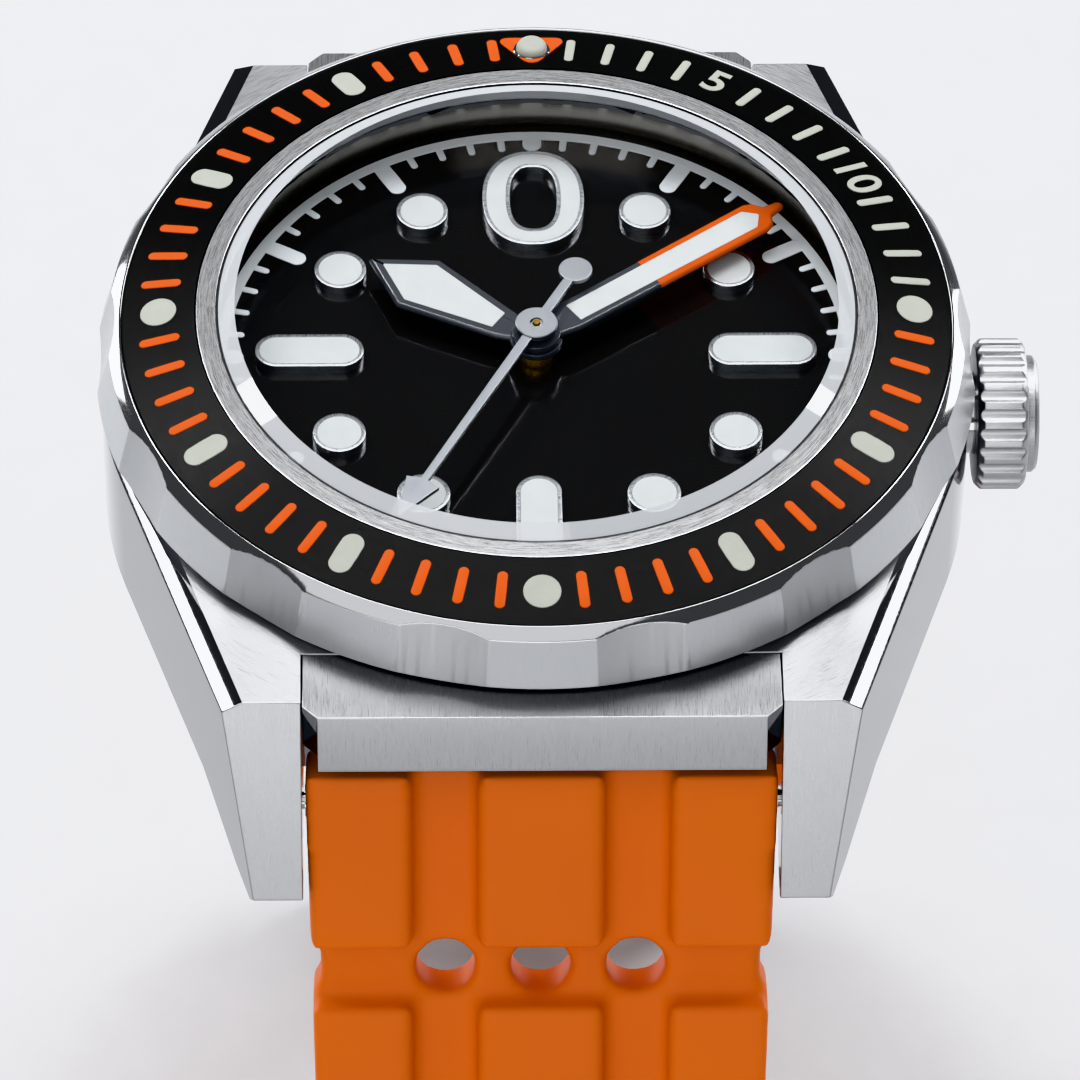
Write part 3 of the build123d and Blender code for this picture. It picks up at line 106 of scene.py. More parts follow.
def soft_box(name, place, size, power):
    """A rectangular area light that looks at the dial."""
    data = bpy.data.lights.new(name, "AREA")
    data.shape = "RECTANGLE"
    data.size, data.size_y = size
    data.energy = power
    light = bpy.data.objects.new(name, data)
    light.location = Vector(place)
    light.rotation_euler = (dial_centre - light.location).to_track_quat("-Z", "Y").to_euler()
    scene.collection.objects.link(light)


# Places and sizes in metres, power in watts
soft_box("overhead_box", (0.0, 0.17, 0.48), (0.36, 0.12), 1.7)
soft_box("high_left_box", (-0.27, 0.25, 0.42), (0.18, 0.16), 1.5)
soft_box("high_right_box", (0.27, 0.25, 0.42), (0.18, 0.16), 1.5)
soft_box("left_box", (-0.44, 0.38, 0.09), (0.24, 0.22), 1.6)
soft_box("right_box", (0.46, 0.34, 0.09), (0.20, 0.22), 1.3)
soft_box("front_box", (-0.06, -0.60, 0.10), (0.70, 0.24), 1.35)
room_data = bpy.data.lights.new("room", "SUN")
room_data.energy = 1.1
room_data.angle = math.radians(60)
room = bpy.data.objects.new("room", room_data)
room.rotation_euler = (math.radians(32), 0, math.radians(-25))
scene.collection.objects.link(room)

FLOOR_SIZE = 6.0
floor_mesh = bpy.data.meshes.new("floor")
floor_bm = bmesh.new()
bmesh.ops.create_grid(floor_bm, x_segments=1, y_segments=1, size=FLOOR_SIZE / 2)
bmesh.ops.translate(floor_bm, verts=floor_bm.verts, vec=(0, 0, TABLE_Z))
floor_bm.to_mesh(floor_mesh)
floor_bm.free()
floor = bpy.data.objects.new("floor", floor_mesh)
scene.collection.objects.link(floor)

world = bpy.data.worlds.new("studio")
scene.world = world
world.use_nodes = True
studio_air = world.node_tree.nodes["Background"]
studio_air.inputs["Color"].default_value = (0.53, 0.535, 0.545, 1)
studio_air.inputs["Strength"].default_value = 0.35
print("lights placed")

# %% [markdown]
# Every material is made of shader nodes. One small function adds a node, sets it and links it, so
# that each recipe below reads as a list of what the surface is.

# %% Node and colour helpers


def linear(hex_colour):
    """An sRGB colour such as "#D06416" as linear RGBA."""
    made = []
    for start in (1, 3, 5):
        value = int(hex_colour[start:start + 2], 16) / 255
        made.append(value / 12.92 if value <= 0.04045 else ((value + 0.055) / 1.055) ** 2.4)
    return (*made, 1.0)


def add_node(tree, kind, inputs=(), **settings):
    """Add a node; inputs pairs a socket with a value or with another node's output."""
    made = tree.nodes.new(kind)
    for name, value in settings.items():
        setattr(made, name, value)
    for socket, value in dict(inputs).items():
        if isinstance(value, bpy.types.NodeSocket):
            tree.links.new(value, made.inputs[socket])
        else:
            made.inputs[socket].default_value = value
    return made


def new_material(name):
    """An empty material with its shader node, ready for inputs."""
    material = bpy.data.materials.new(name)
    material.use_nodes = True
    return material, material.node_tree, material.node_tree.nodes["Principled BSDF"]


print("mid grey is", round(linear("#808080")[0], 3), "in linear light")

# %% [markdown]
# Brushed steel is steel dragged over a belt: thousands of scratches, all one way. The direction is
# what the eye reads, so it follows how the real part was held: in arcs round the dial on the bezel's
# lip and the lugs' tops, and straight down the front faces. The scratches come from a noise squeezed
# in one direction, in real millimetres, and they drive the bump and a little of the roughness.

# %% Brushed and polished metal

SCRATCH_WIDTH = 0.09  # mm, coarser than the real 0.03 so that it shows
SCRATCH_LENGTH = 5.0  # mm
ARC_R = 18.0  # mm, where one step of angle is measured as an arc


def scratches(tree, across):
    """Noise that is fine across the scratches and long along them; across is x, yz, angle or radius."""
    place = add_node(tree, "ShaderNodeTexCoord").outputs["Object"]
    fine, long = 1 / (SCRATCH_WIDTH * MM), 1 / (SCRATCH_LENGTH * MM)
    if across in ("angle", "radius"):
        parts = add_node(tree, "ShaderNodeSeparateXYZ", {0: place})
        x, y, z = (parts.outputs[name] for name in "XYZ")
        angle = add_node(tree, "ShaderNodeMath", {0: y, 1: x}, operation="ARCTAN2").outputs[0]
        arc = add_node(tree, "ShaderNodeMath", {0: angle, 1: ARC_R * MM}, operation="MULTIPLY").outputs[0]
        flat = add_node(tree, "ShaderNodeCombineXYZ", {0: x, 1: y, 2: 0.0}).outputs[0]
        radius = add_node(tree, "ShaderNodeVectorMath", {0: flat}, operation="LENGTH").outputs["Value"]
        place = add_node(tree, "ShaderNodeCombineXYZ", {0: arc, 1: radius, 2: z}).outputs[0]
    scale = {
        "x": (fine, long, long),
        "yz": (long, fine, fine),
        "angle": (fine, long, long),
        "radius": (long, fine, fine),
    }[across]
    stretched = add_node(tree, "ShaderNodeVectorMath", {0: place, 1: scale}, operation="MULTIPLY")
    return add_node(
        tree, "ShaderNodeTexNoise", {"Vector": stretched.outputs[0], "Detail": 3.0, "Roughness": 0.65}
    ).outputs["Fac"]


def across_direction(tree, across):
    """The direction in which scratched metal smears a highlight: square to its scratches."""
    if across in ("x", "yz"):
        vector = (1.0, 0.0, 0.0)
    else:
        place = add_node(tree, "ShaderNodeTexCoord").outputs["Object"]
        vector = add_node(
            tree, "ShaderNodeVectorMath", {0: (0.0, 0.0, 1.0), 1: place}, operation="CROSS_PRODUCT"
        ).outputs[0]
    return add_node(
        tree, "ShaderNodeVectorTransform", {"Vector": vector},
        vector_type="VECTOR", convert_from="OBJECT", convert_to="WORLD",
    ).outputs[0]


def brushed_metal(name, colour, across, roughness=0.3, depth=0.25, smear=0.7):
    """Metal with belt scratches; across names the way that crosses them."""
    material, tree, shader = new_material(name)
    grain = scratches(tree, across)
    shader.inputs["Base Color"].default_value = linear(colour)
    shader.inputs["Metallic"].default_value = 1.0
    shader.inputs["Anisotropic"].default_value = smear
    shader.inputs["Anisotropic Rotation"].default_value = 0.25 if across in ("yz", "radius") else 0.0
    spread = add_node(
        tree, "ShaderNodeMapRange",
        {"Value": grain, "From Min": 0.3, "From Max": 0.7,
         "To Min": roughness - 0.07, "To Max": roughness + 0.1},
    )
    bump = add_node(tree, "ShaderNodeBump", {"Height": grain, "Strength": depth, "Distance": 0.02 * MM})
    tree.links.new(spread.outputs[0], shader.inputs["Roughness"])
    tree.links.new(bump.outputs[0], shader.inputs["Normal"])
    tree.links.new(across_direction(tree, across), shader.inputs["Tangent"])
    return material


def polished_metal(name, colour, roughness=0.07):
    """Polished metal with the faint swirls that a buffing wheel leaves."""
    material, tree, shader = new_material(name)
    shader.inputs["Base Color"].default_value = linear(colour)
    shader.inputs["Metallic"].default_value = 1.0
    place = add_node(tree, "ShaderNodeTexCoord").outputs["Object"]
    swirl = add_node(tree, "ShaderNodeTexNoise", {"Vector": place, "Scale": 1 / (0.3 * MM), "Detail": 3.0})
    spread = add_node(
        tree, "ShaderNodeMapRange",
        {"Value": swirl.outputs["Fac"], "From Min": 0.3, "From Max": 0.7,
         "To Min": roughness - 0.015, "To Max": roughness + 0.025},
    )
    tree.links.new(spread.outputs[0], shader.inputs["Roughness"])
    return material


STEEL = "#ABACAE"
steel_straight = brushed_metal("steel_316L_brushed_straight", STEEL, "x")
steel_across = brushed_metal("steel_316L_brushed_across", STEEL, "yz")
steel_around = brushed_metal("steel_316L_turned", STEEL, "radius")
steel_polished = polished_metal("steel_316L_polished", "#A6A7A9")
# The flanks' polished steel is coloured much darker than the other steel, as painted shade.
steel_flank_painted_shade = polished_metal("steel_316L_polished_painted_shade", "#77787B")
steel_grip = brushed_metal("steel_316L_brushed_grip", "#CDCED0", "angle", roughness=0.33)
steel_blasted = brushed_metal(
    "steel_316L_blasted_fine", "#BCBDBF", "radius", roughness=0.4, depth=0.04, smear=0.1
)
steel_satin = brushed_metal(
    "steel_316L_satin", "#BEBFC1", "radius", roughness=0.27, depth=0.05, smear=0.3
)
print("steel finishes made")

# %% [markdown]
# The strap is moulded rubber (FKM or silicone) dyed through in orange. It is not glossy: the mould's
# fine blasted skin breaks the light up, so its gloss is weak and wide.

# %% Rubber


def grain_bump(tree, place, width, depth, detail):
    """A fine noise as bump: width in millimetres, depth as its strength."""
    grain = add_node(
        tree, "ShaderNodeTexNoise", {"Vector": place, "Scale": 1 / (width * MM), "Detail": detail}
    )
    return add_node(
        tree, "ShaderNodeBump",
        {"Height": grain.outputs["Fac"], "Strength": depth, "Distance": 0.02 * MM},
    )


def moulded_rubber(name, colour, light_colour, roughness, grain_width, grain_depth):
    """Rubber from a blasted mould, with slow colour drift and fine grain; returns its shader too."""
    material, tree, shader = new_material(name)
    place = add_node(tree, "ShaderNodeTexCoord").outputs["Object"]
    drift = add_node(tree, "ShaderNodeTexNoise", {"Vector": place, "Scale": 1 / (9 * MM), "Detail": 3.0})
    colours = add_node(
        tree, "ShaderNodeMix",
        {"Factor": drift.outputs["Fac"], "A": linear(colour), "B": linear(light_colour)},
        data_type="RGBA",
    )
    bump = grain_bump(tree, place, grain_width, grain_depth, 3.0)
    spread = add_node(
        tree, "ShaderNodeMapRange",
        {"Value": drift.outputs["Fac"], "From Min": 0.3, "From Max": 0.7,
         "To Min": roughness - 0.05, "To Max": roughness + 0.06},
    )
    tree.links.new(colours.outputs["Result"], shader.inputs["Base Color"])
    tree.links.new(bump.outputs[0], shader.inputs["Normal"])
    tree.links.new(spread.outputs[0], shader.inputs["Roughness"])
    return material, shader


orange_rubber, orange_shader = moulded_rubber(
    "rubber_orange_moulded", "#D25E0A", "#DA680F", 0.5, 0.12, 0.25
)
orange_shader.inputs["Specular IOR Level"].default_value = 0.35
black_rubber, _ = moulded_rubber("rubber_nitrile_black", "#161616", "#1D1D1D", 0.6, 0.1, 0.2)
print("rubber made")

# %% [markdown]
# CAD edges are perfectly sharp, and real ones never are: a small rounded edge catches a line of light
# and is most of what makes metal and rubber look real. So each visible CAD piece gets a copy whose
# sharp edges are rounded with bmesh's bevel. The copy's loose triangles are merged first, and flat
# neighbours are dissolved, so that only the true edges are left to bevel.

# %% Rounded copies of CAD pieces
FLAT_ANGLE = math.radians(0.6)  # neighbours that bend less than this are one flat face


def new_piece(name, bm, body, materials, replaced=(), weighted=True, sharp=32):
    """Turn a finished bmesh into a piece that rides on a body and stands for CAD nodes."""
    mesh = bpy.data.meshes.new(name)
    bm.to_mesh(mesh)
    bm.free()
    for material in materials:
        mesh.materials.append(material)
    mesh.shade_smooth()
    mesh.set_sharp_from_angle(angle=math.radians(sharp))
    piece = bpy.data.objects.new(name, mesh)
    scene.collection.objects.link(piece)
    if weighted:
        modifier = piece.modifiers.new("flat faces stay flat", "WEIGHTED_NORMAL")
        modifier.keep_sharp = True
    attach(piece, body)
    if replaced:
        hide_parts(*replaced)
    print(name, len(mesh.polygons), "faces")
    return piece


def round_edges(bm, edges, width, segments=3):
    """Bevel some edges with a round profile."""
    bmesh.ops.bevel(
        bm, geom=edges, offset=width, offset_type="OFFSET", segments=segments, profile=0.5,
        affect="EDGES", material=-1, clamp_overlap=False,
    )


def close_up(bm):
    """Merge doubles and point every face outwards."""
    bmesh.ops.remove_doubles(bm, verts=bm.verts, dist=0.0005 * MM)
    bmesh.ops.recalc_face_normals(bm, faces=bm.faces)


def cad_shape(node):
    """A CAD node's mesh as a bmesh, its loose triangles merged."""
    bm = bmesh.new()
    bm.from_mesh(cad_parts[node].data)
    bmesh.ops.remove_doubles(bm, verts=bm.verts, dist=0.002 * MM)
    return bm


def eased_copy(node, name, body, width, materials, choose=None, sharp=30, segments=3):
    """A CAD node's shape with its sharp edges rounded; choose picks each face's material."""
    return eased_piece(
        cad_shape(node), node, name, body, width, materials, choose, sharp, segments
    )


def eased_piece(
    bm, node, name, body, width, materials, choose=None, sharp=30, segments=3
):
    """Merge a shape's flat neighbours, round its sharp edges and put it in a node's place."""
    bmesh.ops.dissolve_limit(bm, angle_limit=FLAT_ANGLE, verts=bm.verts, edges=bm.edges)
    bm.normal_update()
    for face in bm.faces:
        face.material_index = choose(face.normal, face.calc_center_median() / MM) if choose else 0
    limit = math.radians(sharp)
    edges = [edge for edge in bm.edges if edge.is_manifold and edge.calc_face_angle() > limit]
    round_edges(bm, edges, width * MM, segments)
    return new_piece(name, bm, body, materials, [node])


print("edges rounder than", round(math.degrees(FLAT_ANGLE), 1), "degrees stay in the copies")

# %% [markdown]
# The case middle is milled and then finished face by face: lug tops brushed in arcs round the dial,
# the faces over the strap brushed downwards, and the long flanks with their bevel polished, in a steel
# painted darker as painted shade.

# %% Case and its blocks
NECK_FROM_Z = 9.0  # mm, the lugs' tops lie below it and the neck's steps above
LUG_ENDS_FROM_Y = 19.0  # mm


def case_finish(normal, centre):
    """Which finish a face of the case has, from where it looks and lies."""
    if normal.z > 0.95:
        return 0 if centre.z < NECK_FROM_Z else 3
    if (abs(normal.y) > 0.75 and abs(centre.y) > LUG_ENDS_FROM_Y) or normal.z < -0.5:
        return 1
    return 2


eased_copy(
    "mid_case", "case_middle", "case", 0.06,
    [steel_around, steel_straight, steel_flank_painted_shade, steel_satin], case_finish,
    segments=2,
)


def block_finish(normal, centre):
    """The lug blocks: top brushed along the watch, front brushed downwards, bevels polished."""
    return 1 if abs(normal.x) > 0.3 else 0


for hour in ("6", "12"):
    eased_copy(
        f"lug_block_{hour}", f"lug_block_finished_{hour}", "case", 0.05,
        [steel_straight, steel_polished], block_finish, segments=2,
    )


def back_finish(normal, centre):
    """The case back is turned on its flat faces and polished at its edge."""
    return 0 if abs(normal.z) > 0.9 else 1


eased_copy(
    "case_back", "case_back_turned", "case", 0.05,
    [steel_around, steel_polished], back_finish,
)

# %% [markdown]
# The bezel ring is turned from bar: a leaning wall, a polished chamfer over it and an undercut below.
# Then a large cutter, leaning as the wall does, takes 14 shallow facets for the fingers. It runs out
# through the chamfer, so each facet has an arched top. The ring here is made the same way: a profile
# is spun, and a Boolean modifier cuts it. The lands stay brushed and the facets are fine blasted.

# %% Bezel ring
GRIP_FOOT_R, GRIP_FOOT_Z = 20.85, 9.5
GRIP_TOP_R, GRIP_TOP_Z = 20.22, 12.02
WALL_LEAN = (GRIP_FOOT_R - GRIP_TOP_R) / (GRIP_TOP_Z - GRIP_FOOT_Z)
FACETS = 14
FACET_DEPTH = 0.27
FACET_TOOL_R = 13.8
FACET_HALF_WIDTH = 2.6
CUT_LOW_Z, CUT_HIGH_Z = 8.4, 13.4
UNDER_R, UNDER_Z = 20.25, 8.92
RIM_R, RIM_Z = 19.65, 12.48
SEAT_R, SEAT_TOP_Z, SEAT_Z = 19.55, 12.42, 11.72
LIP_R, LIP_TOP_Z, LIP_Z = 16.1, 12.445, 11.06
RUN_R = 17.53  # the bore that runs round the case's neck
WIRE_R, WIRE_LOW_Z, WIRE_HIGH_Z = 18.0, 9.78, 10.22  # the slot for the retaining wire
GRIP_PROFILE = [
    (RUN_R, UNDER_Z), (UNDER_R, UNDER_Z), (GRIP_FOOT_R, GRIP_FOOT_Z), (GRIP_TOP_R, GRIP_TOP_Z),
    (RIM_R, RIM_Z), (SEAT_R, SEAT_TOP_Z), (SEAT_R, SEAT_Z), (LIP_R, LIP_TOP_Z),
    (LIP_R, LIP_Z), (RUN_R, LIP_Z), (RUN_R, WIRE_HIGH_Z), (WIRE_R, WIRE_HIGH_Z),
    (WIRE_R, WIRE_LOW_Z), (RUN_R, WIRE_LOW_Z),
]


def spin_profile(bm, points, steps, closed=True):
    """Join points (radius, height) in millimetres into a profile and spin it once about Z."""
    corners = [bm.verts.new((radius * MM, 0, height * MM)) for radius, height in points]
    followers = corners[1:] + corners[:1] if closed else corners[1:]
    edges = [bm.edges.new(pair) for pair in zip(corners, followers)]
    bmesh.ops.spin(
        bm, geom=corners + edges, cent=(0, 0, 0), axis=(0, 0, 1), angle=2 * math.pi,
        steps=steps, use_merge=True,
    )


def spun(points, steps, closed=True):
    """A new bmesh turned from a profile."""
    bm = bmesh.new()
    spin_profile(bm, points, steps, closed)
    close_up(bm)
    return bm


def facet_cutters(rows=16):
    """A ring of prisms, each with the cutter's arc as its inner side, leaning like the wall."""
    bm = bmesh.new()
    outside = GRIP_FOOT_R + 2
    tall = CUT_HIGH_Z - CUT_LOW_Z
    for number in range(FACETS):
        outline = [(outside, -FACET_HALF_WIDTH)]
        for row in range(rows + 1):
            across = FACET_HALF_WIDTH * (2 * row / rows - 1)
            sunk = FACET_TOOL_R - math.sqrt(FACET_TOOL_R ** 2 - across ** 2)
            outline.append((GRIP_FOOT_R - FACET_DEPTH + sunk, across))
        outline.append((outside, FACET_HALF_WIDTH))
        base = bm.faces.new([bm.verts.new((x * MM, y * MM, CUT_LOW_Z * MM)) for x, y in outline])
        made = bmesh.ops.extrude_face_region(bm, geom=[base])["geom"]
        top = [item for item in made if isinstance(item, bmesh.types.BMVert)]
        bmesh.ops.translate(bm, verts=top, vec=(-WALL_LEAN * tall * MM, 0, tall * MM))
        prism = list(base.verts) + top
        at_foot = WALL_LEAN * (GRIP_FOOT_Z - CUT_LOW_Z) * MM
        bmesh.ops.translate(bm, verts=prism, vec=(at_foot, 0, 0))
        turn = Matrix.Rotation(2 * math.pi * number / FACETS, 3, "Z")
        bmesh.ops.rotate(bm, verts=prism, cent=(0, 0, 0), matrix=turn)
    bmesh.ops.recalc_face_normals(bm, faces=bm.faces)
    return bm


def scratch_object(bm):
    """A bmesh as an object for a while, so that a modifier can work on it."""
    mesh = bpy.data.meshes.new("scratch")
    bm.to_mesh(mesh)
    bm.free()
    made = bpy.data.objects.new("scratch", mesh)
    scene.collection.objects.link(made)
    return made


def evaluated_mesh(thing):
    """What an object's modifiers, or a text's settings, make of it."""
    bpy.context.view_layer.update()
    return bpy.data.meshes.new_from_object(
        thing.evaluated_get(bpy.context.evaluated_depsgraph_get())
    )


def evaluated_bmesh(thing, *helpers):
    """The same as a bmesh, after which the scratch objects are removed."""
    result = evaluated_mesh(thing)
    bm = bmesh.new()
    bm.from_mesh(result)
    bpy.data.meshes.remove(result)
    for item in (thing, *helpers):
        mesh = item.data
        bpy.data.objects.remove(item)
        bpy.data.meshes.remove(mesh)
    return bm


def carved(blank, cutters):
    """The first shape with the second cut out of it, by a Boolean modifier."""
    ring, tools = scratch_object(blank), scratch_object(cutters)
    cut = ring.modifiers.new("cut", "BOOLEAN")
    cut.operation = "DIFFERENCE"
    cut.solver = "EXACT"
    cut.object = tools
    bm = evaluated_bmesh(ring, tools)
    bmesh.ops.remove_doubles(bm, verts=bm.verts, dist=0.002 * MM)
    return bm


def bezel_finish(normal, centre):
    """Polished chamfer, blasted facets and brushed lands."""
    if normal.z > 0.5:
        return 2
    wall_r = GRIP_FOOT_R - WALL_LEAN * (centre.z - GRIP_FOOT_Z)
    return 1 if math.hypot(centre.x, centre.y) < wall_r - 0.02 else 0


eased_piece(
    carved(spun(GRIP_PROFILE, 16 * FACETS), facet_cutters()), "bezel_ring", "bezel_grip", "bezel", 0.05,
    [steel_grip, steel_blasted, steel_polished], bezel_finish, sharp=9,
)

# %% [markdown]
# The crown is milled with broad teeth for the fingers and brushed along its own axis. Its CAD shape
# already has the teeth, so it only needs its edges rounded.

# %% Crown
eased_copy("crown", "crown_knurled", "crown_and_stem", 0.06, [steel_across])

# %% [markdown]
# The strap needs another way. A rubber mould is rounded inside its corners as well as outside, and a
# bevel only takes edges off. So the CAD shape is poured again as small even cells with the Remesh
# modifier, and relaxed a little: every corner, raised or sunk, becomes soft.

# %% Strap and keepers
MOULD_CELL = 0.27  # mm, which keeps a strap under its triangle limit
RELAX_ROUNDS = 5


def moulded_copy(node, name, body):
    """A CAD node's shape in soft rubber."""
    mould = scratch_object(cad_shape(node))
    cells = mould.modifiers.new("even cells", "REMESH")
    cells.mode = "VOXEL"
    cells.voxel_size = MOULD_CELL * MM
    bm = evaluated_bmesh(mould)
    for _ in range(RELAX_ROUNDS):
        bmesh.ops.smooth_vert(
            bm, verts=bm.verts, factor=0.5, use_axis_x=True, use_axis_y=True, use_axis_z=True
        )
    return new_piece(
        name, bm, body, [orange_rubber], [node], weighted=False, sharp=180
    )


for node, name, body in (
    ("strap_6", "strap_6_moulded", "strap_6_body"),
    ("strap_12", "strap_12_moulded", "strap_12_body"),
    ("fixed_keeper", "fixed_keeper_moulded", "strap_12_body"),
    ("free_keeper", "free_keeper_moulded", "free_keeper_body"),
):
    moulded_copy(node, name, body)

# %% [markdown]
# The buckle is a bent steel frame, brushed across, and its tongue is polished. Both are thick enough
# to need a broader rounding than the case.

# %% Buckle
eased_copy("buckle", "buckle_brushed", "buckle_body", 0.25, [steel_across])
eased_copy("tongue", "tongue_brushed", "tongue_body", 0.15, [steel_polished])

# %% [markdown]
# The bezel insert is a thin black-coated steel cone with fine turning lines. Its marks are grooves
# filled with coloured luminous paint, level with the metal. Each mark is a little pad laid on the
# cone; a pad is a circle stretched into a pill, given a thickness and a rounded top edge.

# %% Bezel insert geometry
INSERT_LOW, INSERT_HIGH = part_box("bezel_insert")
INSERT_OUT_R = INSERT_HIGH.x / MM
INSERT_IN_R = 16.1
INSERT_IN_Z = INSERT_HIGH.z / MM
INSERT_OUT_Z = INSERT_IN_Z - 0.725
CONE_SLOPE = (INSERT_OUT_Z - INSERT_IN_Z) / (INSERT_OUT_R - INSERT_IN_R)
CONE_LEAN = math.atan(CONE_SLOPE)


def on_cone(radius, clock):
    """Where a mark lies on the insert: X along the cone's outward slope, Z its normal."""
    height = INSERT_IN_Z + (radius - INSERT_IN_R) * CONE_SLOPE
    turn = Matrix.Rotation(math.radians(90 - clock), 4, "Z")
    lean = Matrix.Rotation(-CONE_LEAN, 4, "Y")
    return turn @ Matrix.Translation((radius * MM, 0, height * MM)) @ lean


def add_pill(bm, length, width, thickness, place, edge=0.04, segments=24):
    """A flat pad with round ends, its length along its own X, standing on Z = 0."""
    before = set(bm.verts)
    made = bmesh.ops.create_circle(bm, cap_ends=True, segments=segments, radius=width / 2 * MM)["verts"]
    stretch = (length - width) / 2 * MM
    if stretch > 0:
        for side in (1, -1):
            half = [vert for vert in made if vert.co.x * side > 1e-9]
            bmesh.ops.translate(bm, verts=half, vec=(side * stretch, 0, 0))
    raise_pad(bm, before, thickness, edge)
    bmesh.ops.transform(bm, matrix=place, verts=[vert for vert in bm.verts if vert not in before])


def raise_pad(bm, before, thickness, edge):
    """Give the newest flat face a thickness and a rounded upper edge."""
    faces = [face for face in bm.faces if not before.intersection(face.verts)]
    made = bmesh.ops.extrude_face_region(bm, geom=faces)["geom"]
    top = [item for item in made if isinstance(item, bmesh.types.BMVert)]
    bmesh.ops.translate(bm, verts=top, vec=(0, 0, thickness * MM))
    if edge:
        ring = [item for item in made if isinstance(item, bmesh.types.BMEdge) and len(item.link_faces) == 2]
        rim = [item for item in ring if not all(face.normal.z > 0.5 for face in item.link_faces)]
        bm.normal_update()
        rim = [item for item in ring if item.calc_face_angle(0) > 1.0]
        round_edges(bm, rim, edge * MM, 2)


# %% [markdown]
# Luminous paint is a pale powder in a clear binder: chalky, slightly grainy, with a faint green.
# The enamel on the bars and hands is harder and smoother.

# %% Paints


def paint(name, colour, other, roughness, grain_width, grain_depth, coat=0.0, gloss=0.5):
    """A filled-in paint with slow colour drift and a grainy surface."""
    material, tree, shader = new_material(name)
    place = add_node(tree, "ShaderNodeTexCoord").outputs["Object"]
    cloud = add_node(tree, "ShaderNodeTexNoise", {"Vector": place, "Scale": 1 / (0.8 * MM), "Detail": 4.0})
    colours = add_node(
        tree, "ShaderNodeMix",
        {"Factor": cloud.outputs["Fac"], "A": linear(colour), "B": linear(other)},
        data_type="RGBA",
    )
    bump = grain_bump(tree, place, grain_width, grain_depth, 2.0)
    tree.links.new(colours.outputs["Result"], shader.inputs["Base Color"])
    tree.links.new(bump.outputs[0], shader.inputs["Normal"])
    shader.inputs["Roughness"].default_value = roughness
    shader.inputs["Specular IOR Level"].default_value = gloss
    shader.inputs["Coat Weight"].default_value = coat
    shader.inputs["Coat Roughness"].default_value = 0.08
    return material


lume_white = paint("luminous_paint_white", "#BBBCBB", "#AFB1AF", 0.6, 0.1, 0.35)
lume_green = paint("luminous_paint_pale_green", "#9A9D95", "#8F928A", 0.65, 0.1, 0.4)
enamel_orange = paint("enamel_orange", "#BE4E0A", "#B54706", 0.6, 0.1, 0.15, gloss=0.2)
enamel_grey = paint("printed_ink_grey_white", "#DDDFE0", "#CFD2D3", 0.5, 0.08, 0.2)
enamel_black = paint("enamel_black", "#3C3D41", "#434448", 0.25, 0.1, 0.06, coat=0.4)
print("paints made")

# %% Bezel insert marks
MARK_R = 17.8
BAR_LENGTH, BAR_WIDTH = 1.95, 0.5
CAPSULE_LENGTH, CAPSULE_WIDTH = 2.2, 1.15
DOT_WIDTH = 1.75
PAD_PROUD = 0.035
PEARL_AT_R = 17.755

orange_bm = bmesh.new()
pale_bm = bmesh.new()
for minute in range(1, 60):
    place = on_cone(MARK_R, minute * 6)
    if minute in (5, 10):
        continue
    if minute in (15, 30, 45):
        add_pill(pale_bm, DOT_WIDTH, DOT_WIDTH, PAD_PROUD, place)
    elif minute % 5 == 0:
        add_pill(pale_bm, CAPSULE_LENGTH, CAPSULE_WIDTH, PAD_PROUD, place)
    elif minute < 15:
        add_pill(pale_bm, BAR_LENGTH, BAR_WIDTH * 0.9, PAD_PROUD, place)
    else:
        add_pill(orange_bm, BAR_LENGTH, BAR_WIDTH, PAD_PROUD, place)

before = set(orange_bm.verts)
triangle = [orange_bm.verts.new((x * MM, y * MM, 0)) for x, y in ((1.05, -1.85), (1.05, 1.85), (-1.6, 0))]
orange_bm.faces.new(triangle)
bmesh.ops.bevel(
    orange_bm, geom=triangle, offset=0.78 * MM, offset_type="OFFSET", segments=8, profile=0.5,
    affect="VERTICES", material=-1,
)
raise_pad(orange_bm, before, PAD_PROUD, 0.04)
fresh = [vert for vert in orange_bm.verts if vert not in before]
bmesh.ops.transform(orange_bm, matrix=on_cone(MARK_R, 0), verts=fresh)
close_up(orange_bm)


# %% Numerals on the insert


def lettering(text, size, thickness, place, bold=0.0):
    """Text as a mesh, centred, with a thickness, laid at a place."""
    curve = bpy.data.curves.new("lettering", "FONT")
    curve.body = text
    curve.size = size * MM
    curve.align_x = "CENTER"
    curve.align_y = "CENTER"
    curve.extrude = thickness / 2 * MM
    curve.offset = bold * MM
    curve.resolution_u = 6
    writer = bpy.data.objects.new("lettering", curve)
    bpy.context.scene.collection.objects.link(writer)
    bpy.context.view_layer.update()
    mesh = bpy.data.meshes.new_from_object(writer.evaluated_get(bpy.context.evaluated_depsgraph_get()))
    bpy.data.objects.remove(writer)
    bpy.data.curves.remove(curve)
    mesh.transform(place)
    return mesh


for numeral, clock in (("5", 30), ("10", 60)):
    facing_out = Matrix.Rotation(math.radians(-90), 4, "Z")
    mesh = lettering(numeral, 2.5, 0.08, on_cone(MARK_R, clock) @ facing_out, bold=0.05)
    pale_bm.from_mesh(mesh)
    bpy.data.meshes.remove(mesh)
close_up(pale_bm)
pearl_ring = spun([(0.74, -0.1), (0.9, -0.1), (0.9, 0.04), (0.86, 0.07), (0.74, 0.07)], 48)
bmesh.ops.transform(pearl_ring, matrix=on_cone(PEARL_AT_R, 0), verts=pearl_ring.verts)
new_piece("pearl_ring_polished", pearl_ring, "bezel", [steel_polished])
new_piece("bezel_marks_orange", orange_bm, "bezel", [enamel_orange])
new_piece("bezel_marks_pale", pale_bm, "bezel", [lume_green])

# %% [markdown]
# The dial is black lacquer over brass, polished until it reflects like glass. The minute track is
# printed thickly, so it stands a hair above the lacquer and has soft edges.

# %% Dial lacquer


